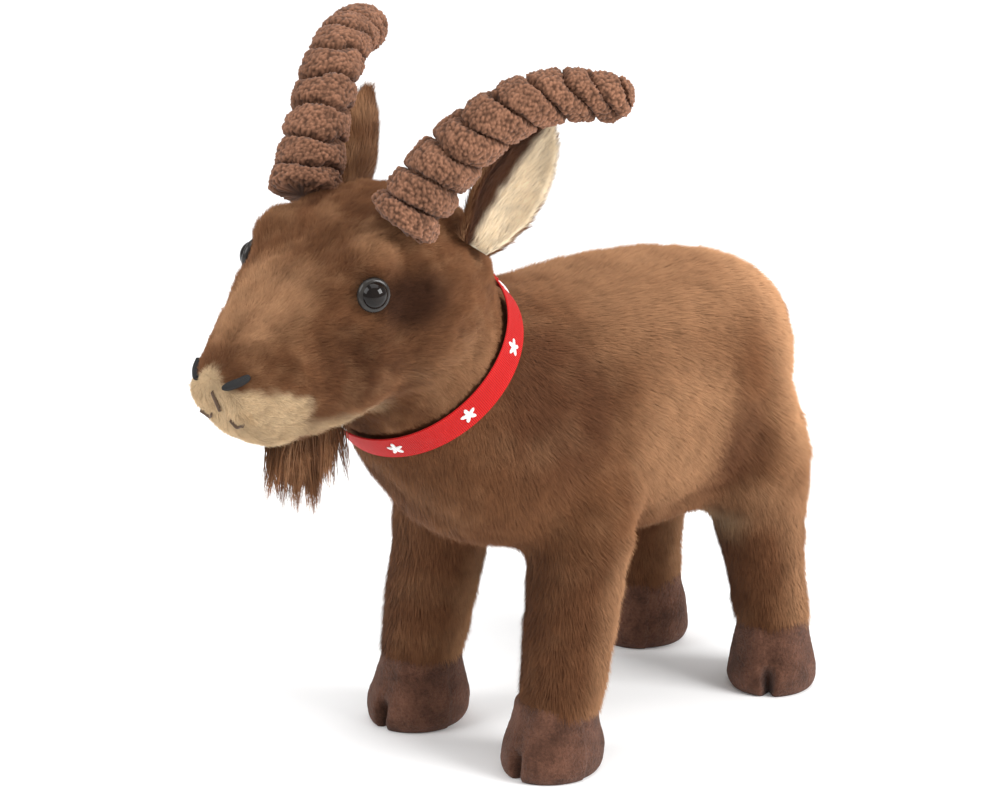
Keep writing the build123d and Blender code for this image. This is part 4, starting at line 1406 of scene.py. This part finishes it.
class IBEX_OT_collar(bpy.types.Operator):
    """Make the grosgrain collar, its white flowers and the stitches of its lap"""
    bl_idname = "ibex.collar"
    bl_label = "Ribbon collar"

    def execute(self, context):
        cloth = ribbon_material()
        nape = math.radians(90.0)
        lap = math.radians(30.0)
        ring = new_object("ribbon", band_mesh("ribbon", RING_RADIUS, RIBBON_THICK, RIBBON_WIDTH,
                                              nape, nape + 2 * math.pi, 480))
        finish_piece(ring, "collar", cloth, "collar_ribbon", slot="ribbon", smooth=False)
        end = new_object("ribbon_lap", band_mesh("ribbon_lap", RING_RADIUS + RIBBON_THICK, RIBBON_THICK * 0.8,
                                                 RIBBON_WIDTH, nape - lap / 2, nape + lap / 2, 48))
        finish_piece(end, "collar", cloth, slot="ribbon", smooth=False)
        white = thread_material("flower thread", (0.90, 0.90, 0.88), (0.0, 0.7, 0.7), 0.55)
        red = thread_material("seam thread", tuple(linear("ribbon") * 0.8), (1.0, 0.0, 0.0))
        flowers = []
        for i in range(8):
            flowers.append(self.flower(nape + 2 * math.pi * (i + 0.5) / 8))
        piece = new_object("ribbon_flowers", joined("ribbon_flowers", flowers))
        finish_piece(piece, "collar", white, "collar_flowers", slot="white_thread")
        stitches = []
        for at in (nape - lap / 2 + math.radians(3), nape + lap / 2 - math.radians(3)):
            for k in range(5):
                along = (k - 2) * 1.9
                rings = []
                for t in np.linspace(-1, 1, 7):
                    lift = RING_RADIUS + 2 * RIBBON_THICK + 0.30 * (1 - t * t) ** 0.5
                    ring = []
                    for b in np.linspace(0, 2 * math.pi, 8, endpoint=False):
                        ring.append(ring_point(at + 0.006 * math.cos(b) * (1.1 - t * t) ** 0.5,
                                               lift + 0.18 * math.sin(b), along + 0.75 * t))
                    rings.append(ring)
                stitches.append(closed_tube(rings))
        piece = new_object("lap_stitches", joined("lap_stitches", stitches))
        finish_piece(piece, "collar", red, "collar_stitches", slot="red_thread")
        return {"FINISHED"}

    def flower(self, at):
        """A five-petalled flower, domed like satin stitch, curved with the ribbon."""
        radius = RING_RADIUS + RIBBON_THICK
        rows = [1.0, 0.93, 0.75, 0.5, 0.22]
        rings = []
        for k, share in enumerate([1.0] + rows):
            ring = []
            for b in np.linspace(0, 2 * math.pi, 60, endpoint=False):
                reach = (2.15 + 0.85 * math.cos(5 * (b - math.pi / 2))) * share
                lift = -0.15 if k == 0 else 0.42 * math.sqrt(max(1 - share * share, 0.0)) + 0.10
                ring.append(ring_point(at - reach * math.cos(b) / radius, radius + lift, reach * math.sin(b)))
            rings.append(ring)
        return closed_tube(rings)


# ------------------------------------------------------------------ hooves
HOOVES = {  # ankle x and y, turn outwards in degrees, half width, half length, toe forward of the ankle
    "front_left": (32.0, 4.0, 0.0, 15.6, 18.0, 2.0), "front_right": (-32.0, 3.0, 0.0, 15.6, 18.0, 2.0),
    "rear_left": (31.0, 111.0, 38.0, 14.4, 16.0, 1.0), "rear_right": (-30.0, 110.0, -38.0, 14.4, 16.0, 1.0),
}


def hoof_mesh(name, x, y, turned, half_x, half_y, forward):
    """A soft cloven hoof: two rounded toes at the front, one heel, flat underneath."""
    levels = [(0.0, 0.78), (0.0, 0.90), (1.0, 0.965), (3.0, 1.01), (6.0, 1.02), (9.0, 1.005), (12.0, 0.965),
              (15.0, 0.915), (18.0, 0.87), (21.0, 0.835), (23.5, 0.81), (25.0, 0.74)]
    levels = along_curve(levels, 40)
    around = 112
    rings, cleft_shades = [], []
    for z, share in levels:
        z = max(z, 0.0)
        ring, crease = [], []
        for b in np.linspace(0, 2 * math.pi, around, endpoint=False):
            px, py = math.cos(b), math.sin(b)
            round_toe = 1.0 + 0.05 * (py < 0) * abs(px)
            qx, qy = px * half_x * share * round_toe, py * half_y * share
            lower = 1 - float(soft(np.array(z), 6.0, 12.5))
            notch = math.exp(-(qx / (1.2 + 0.10 * z)) ** 2) * (py < 0) * (0.14 + 0.86 * lower)
            if py < 0:
                qy += 4.6 * notch * abs(py)
            t = z / 24.0
            ring.append((qx, qy - forward * (1 - t), z))
            # the cleft between the toes, kept as a mask of painted shade
            crease.append(min(1.0, notch * 0.9))
        rings.append(ring)
        cleft_shades.append(crease)
    points, faces = closed_tube(rings)
    points = np.array(points)
    a = math.radians(turned)
    turn = np.array(((math.cos(a), -math.sin(a), 0), (math.sin(a), math.cos(a), 0), (0, 0, 1)))
    points = points @ turn.T + np.array((x, y, 0.0))
    mesh = mesh_from(name, metres(points), faces)
    store(mesh, "crease", "FLOAT", np.concatenate([np.array(cleft_shades).reshape(-1), [0.0, 0.0]]))
    face_outwards(mesh)
    p, n = coordinates(mesh), normals(mesh)
    lumps = 0.55 * rough(p / MM, 8.0, 15) + 0.16 * rough(p / MM, 1.3, 16)
    lumps *= soft(p[:, 2] / MM, 0.5, 5.0)
    set_coordinates(mesh, p + n * (lumps * MM)[:, None])
    return mesh


class IBEX_OT_hooves(bpy.types.Operator):
    """Make the four cloven hooves"""
    bl_idname = "ibex.hooves"
    bl_label = "Hooves"

    def execute(self, context):
        suede = suede_material()
        for name, sizes in HOOVES.items():
            hoof = new_object(name + "_hoof", hoof_mesh(name + "_hoof", *sizes))
            nodes = [f"{name}_hoof_{part}" for part in ("cover", "sole", "pellets")]
            finish_piece(hoof, "body", suede, *nodes, slot="velour")
        return {"FINISHED"}


# ------------------------------------------------------------------ stage
class IBEX_OT_stage(bpy.types.Operator):
    """Set the floor, the studio light and the camera"""
    bl_idname = "ibex.stage"
    bl_label = "Stage"

    def execute(self, context):
        scene = context.scene
        scene.view_settings.view_transform = "Standard"
        mesh = mesh_from("floor", [(-6, -6, 0), (6, -6, 0), (6, 6, 0), (-6, 6, 0)], [(0, 1, 2, 3)])
        floor = new_object("floor", mesh)

        def paper(t):
            return {"Base Color": t.mix(t.noise(3.0), (0.96, 0.96, 0.96, 1), (1.0, 1.0, 1.0, 1))}

        floor.data.materials.append(material("paper floor", paper, Roughness=0.9, Specular_IOR_Level=0.1))
        world = bpy.data.worlds.new("studio")
        scene.world = world
        world.use_nodes = True
        sky = Tree(world.node_tree)
        seen = sky.node("ShaderNodeLightPath")
        glow = sky.node("ShaderNodeBackground", {},
                        {"Color": (1.0, 1.0, 1.0, 1.0), "Strength": seen * 0.45 + 0.55})
        sky.node("ShaderNodeOutputWorld", {}, {"Surface": glow})
        aim = Vector(metres((0.0, 9.0, 121.0)))
        for name, place, size, power in (("front light", (-0.55, -1.25, 1.15), 1.1, 16.0),
                                         ("side light", (1.35, 0.55, 0.95), 0.8, 30.0),
                                         ("top light", (0.1, 0.2, 1.7), 1.4, 14.0)):
            lamp = bpy.data.lights.new(name, "AREA")
            lamp.size, lamp.energy = size, power
            source = new_object(name, lamp)
            source.location = place
            source.rotation_euler = (aim - Vector(place)).to_track_quat("-Z", "Y").to_euler()
        camera = bpy.data.cameras.new("camera")
        camera.lens, camera.sensor_width = 216.0, 36.0
        camera.clip_start, camera.clip_end = 0.05, 50.0
        eye = new_object("camera", camera)
        azimuth, elevation = math.radians(45.5), math.radians(19.6)
        back = Vector((math.sin(azimuth) * math.cos(elevation), -math.cos(azimuth) * math.cos(elevation),
                       math.sin(elevation)))
        eye.location = aim + back * 2.0
        eye.rotation_euler = (-back).to_track_quat("-Z", "Y").to_euler()
        scene.camera = eye
        return {"FINISHED"}


class IBEX_PT_panel(bpy.types.Panel):
    bl_label = "Plush Ibex"
    bl_idname = "IBEX_PT_panel"
    bl_space_type = "VIEW_3D"
    bl_region_type = "UI"
    bl_category = "Plush Ibex"

    def draw(self, context):
        layout = self.layout
        for group in (context.scene.ibex_shape, context.scene.ibex_colours):
            box = layout.box()
            for key in group.bl_rna.properties.keys():
                if key not in ("rna_type", "name"):
                    box.prop(group, key)
        for operator in OPERATORS:
            layout.operator(operator.bl_idname)


OPERATORS = (IBEX_OT_hide, IBEX_OT_pile, IBEX_OT_horns, IBEX_OT_ears, IBEX_OT_eyes, IBEX_OT_face,
             IBEX_OT_beard, IBEX_OT_collar, IBEX_OT_hooves, IBEX_OT_stage)
CLASSES = (IbexShape, IbexColours, *OPERATORS, IBEX_PT_panel)


def register():
    for item in CLASSES:
        bpy.utils.register_class(item)
    bpy.types.Scene.ibex_shape = bpy.props.PointerProperty(type=IbexShape)
    bpy.types.Scene.ibex_colours = bpy.props.PointerProperty(type=IbexColours)


def unregister():
    del bpy.types.Scene.ibex_colours
    del bpy.types.Scene.ibex_shape
    for item in reversed(CLASSES):
        bpy.utils.unregister_class(item)


def main():
    register()
    for operator in OPERATORS:
        getattr(bpy.ops.ibex, operator.bl_idname.split(".")[1])()


if __name__ == "__main__":
    main()
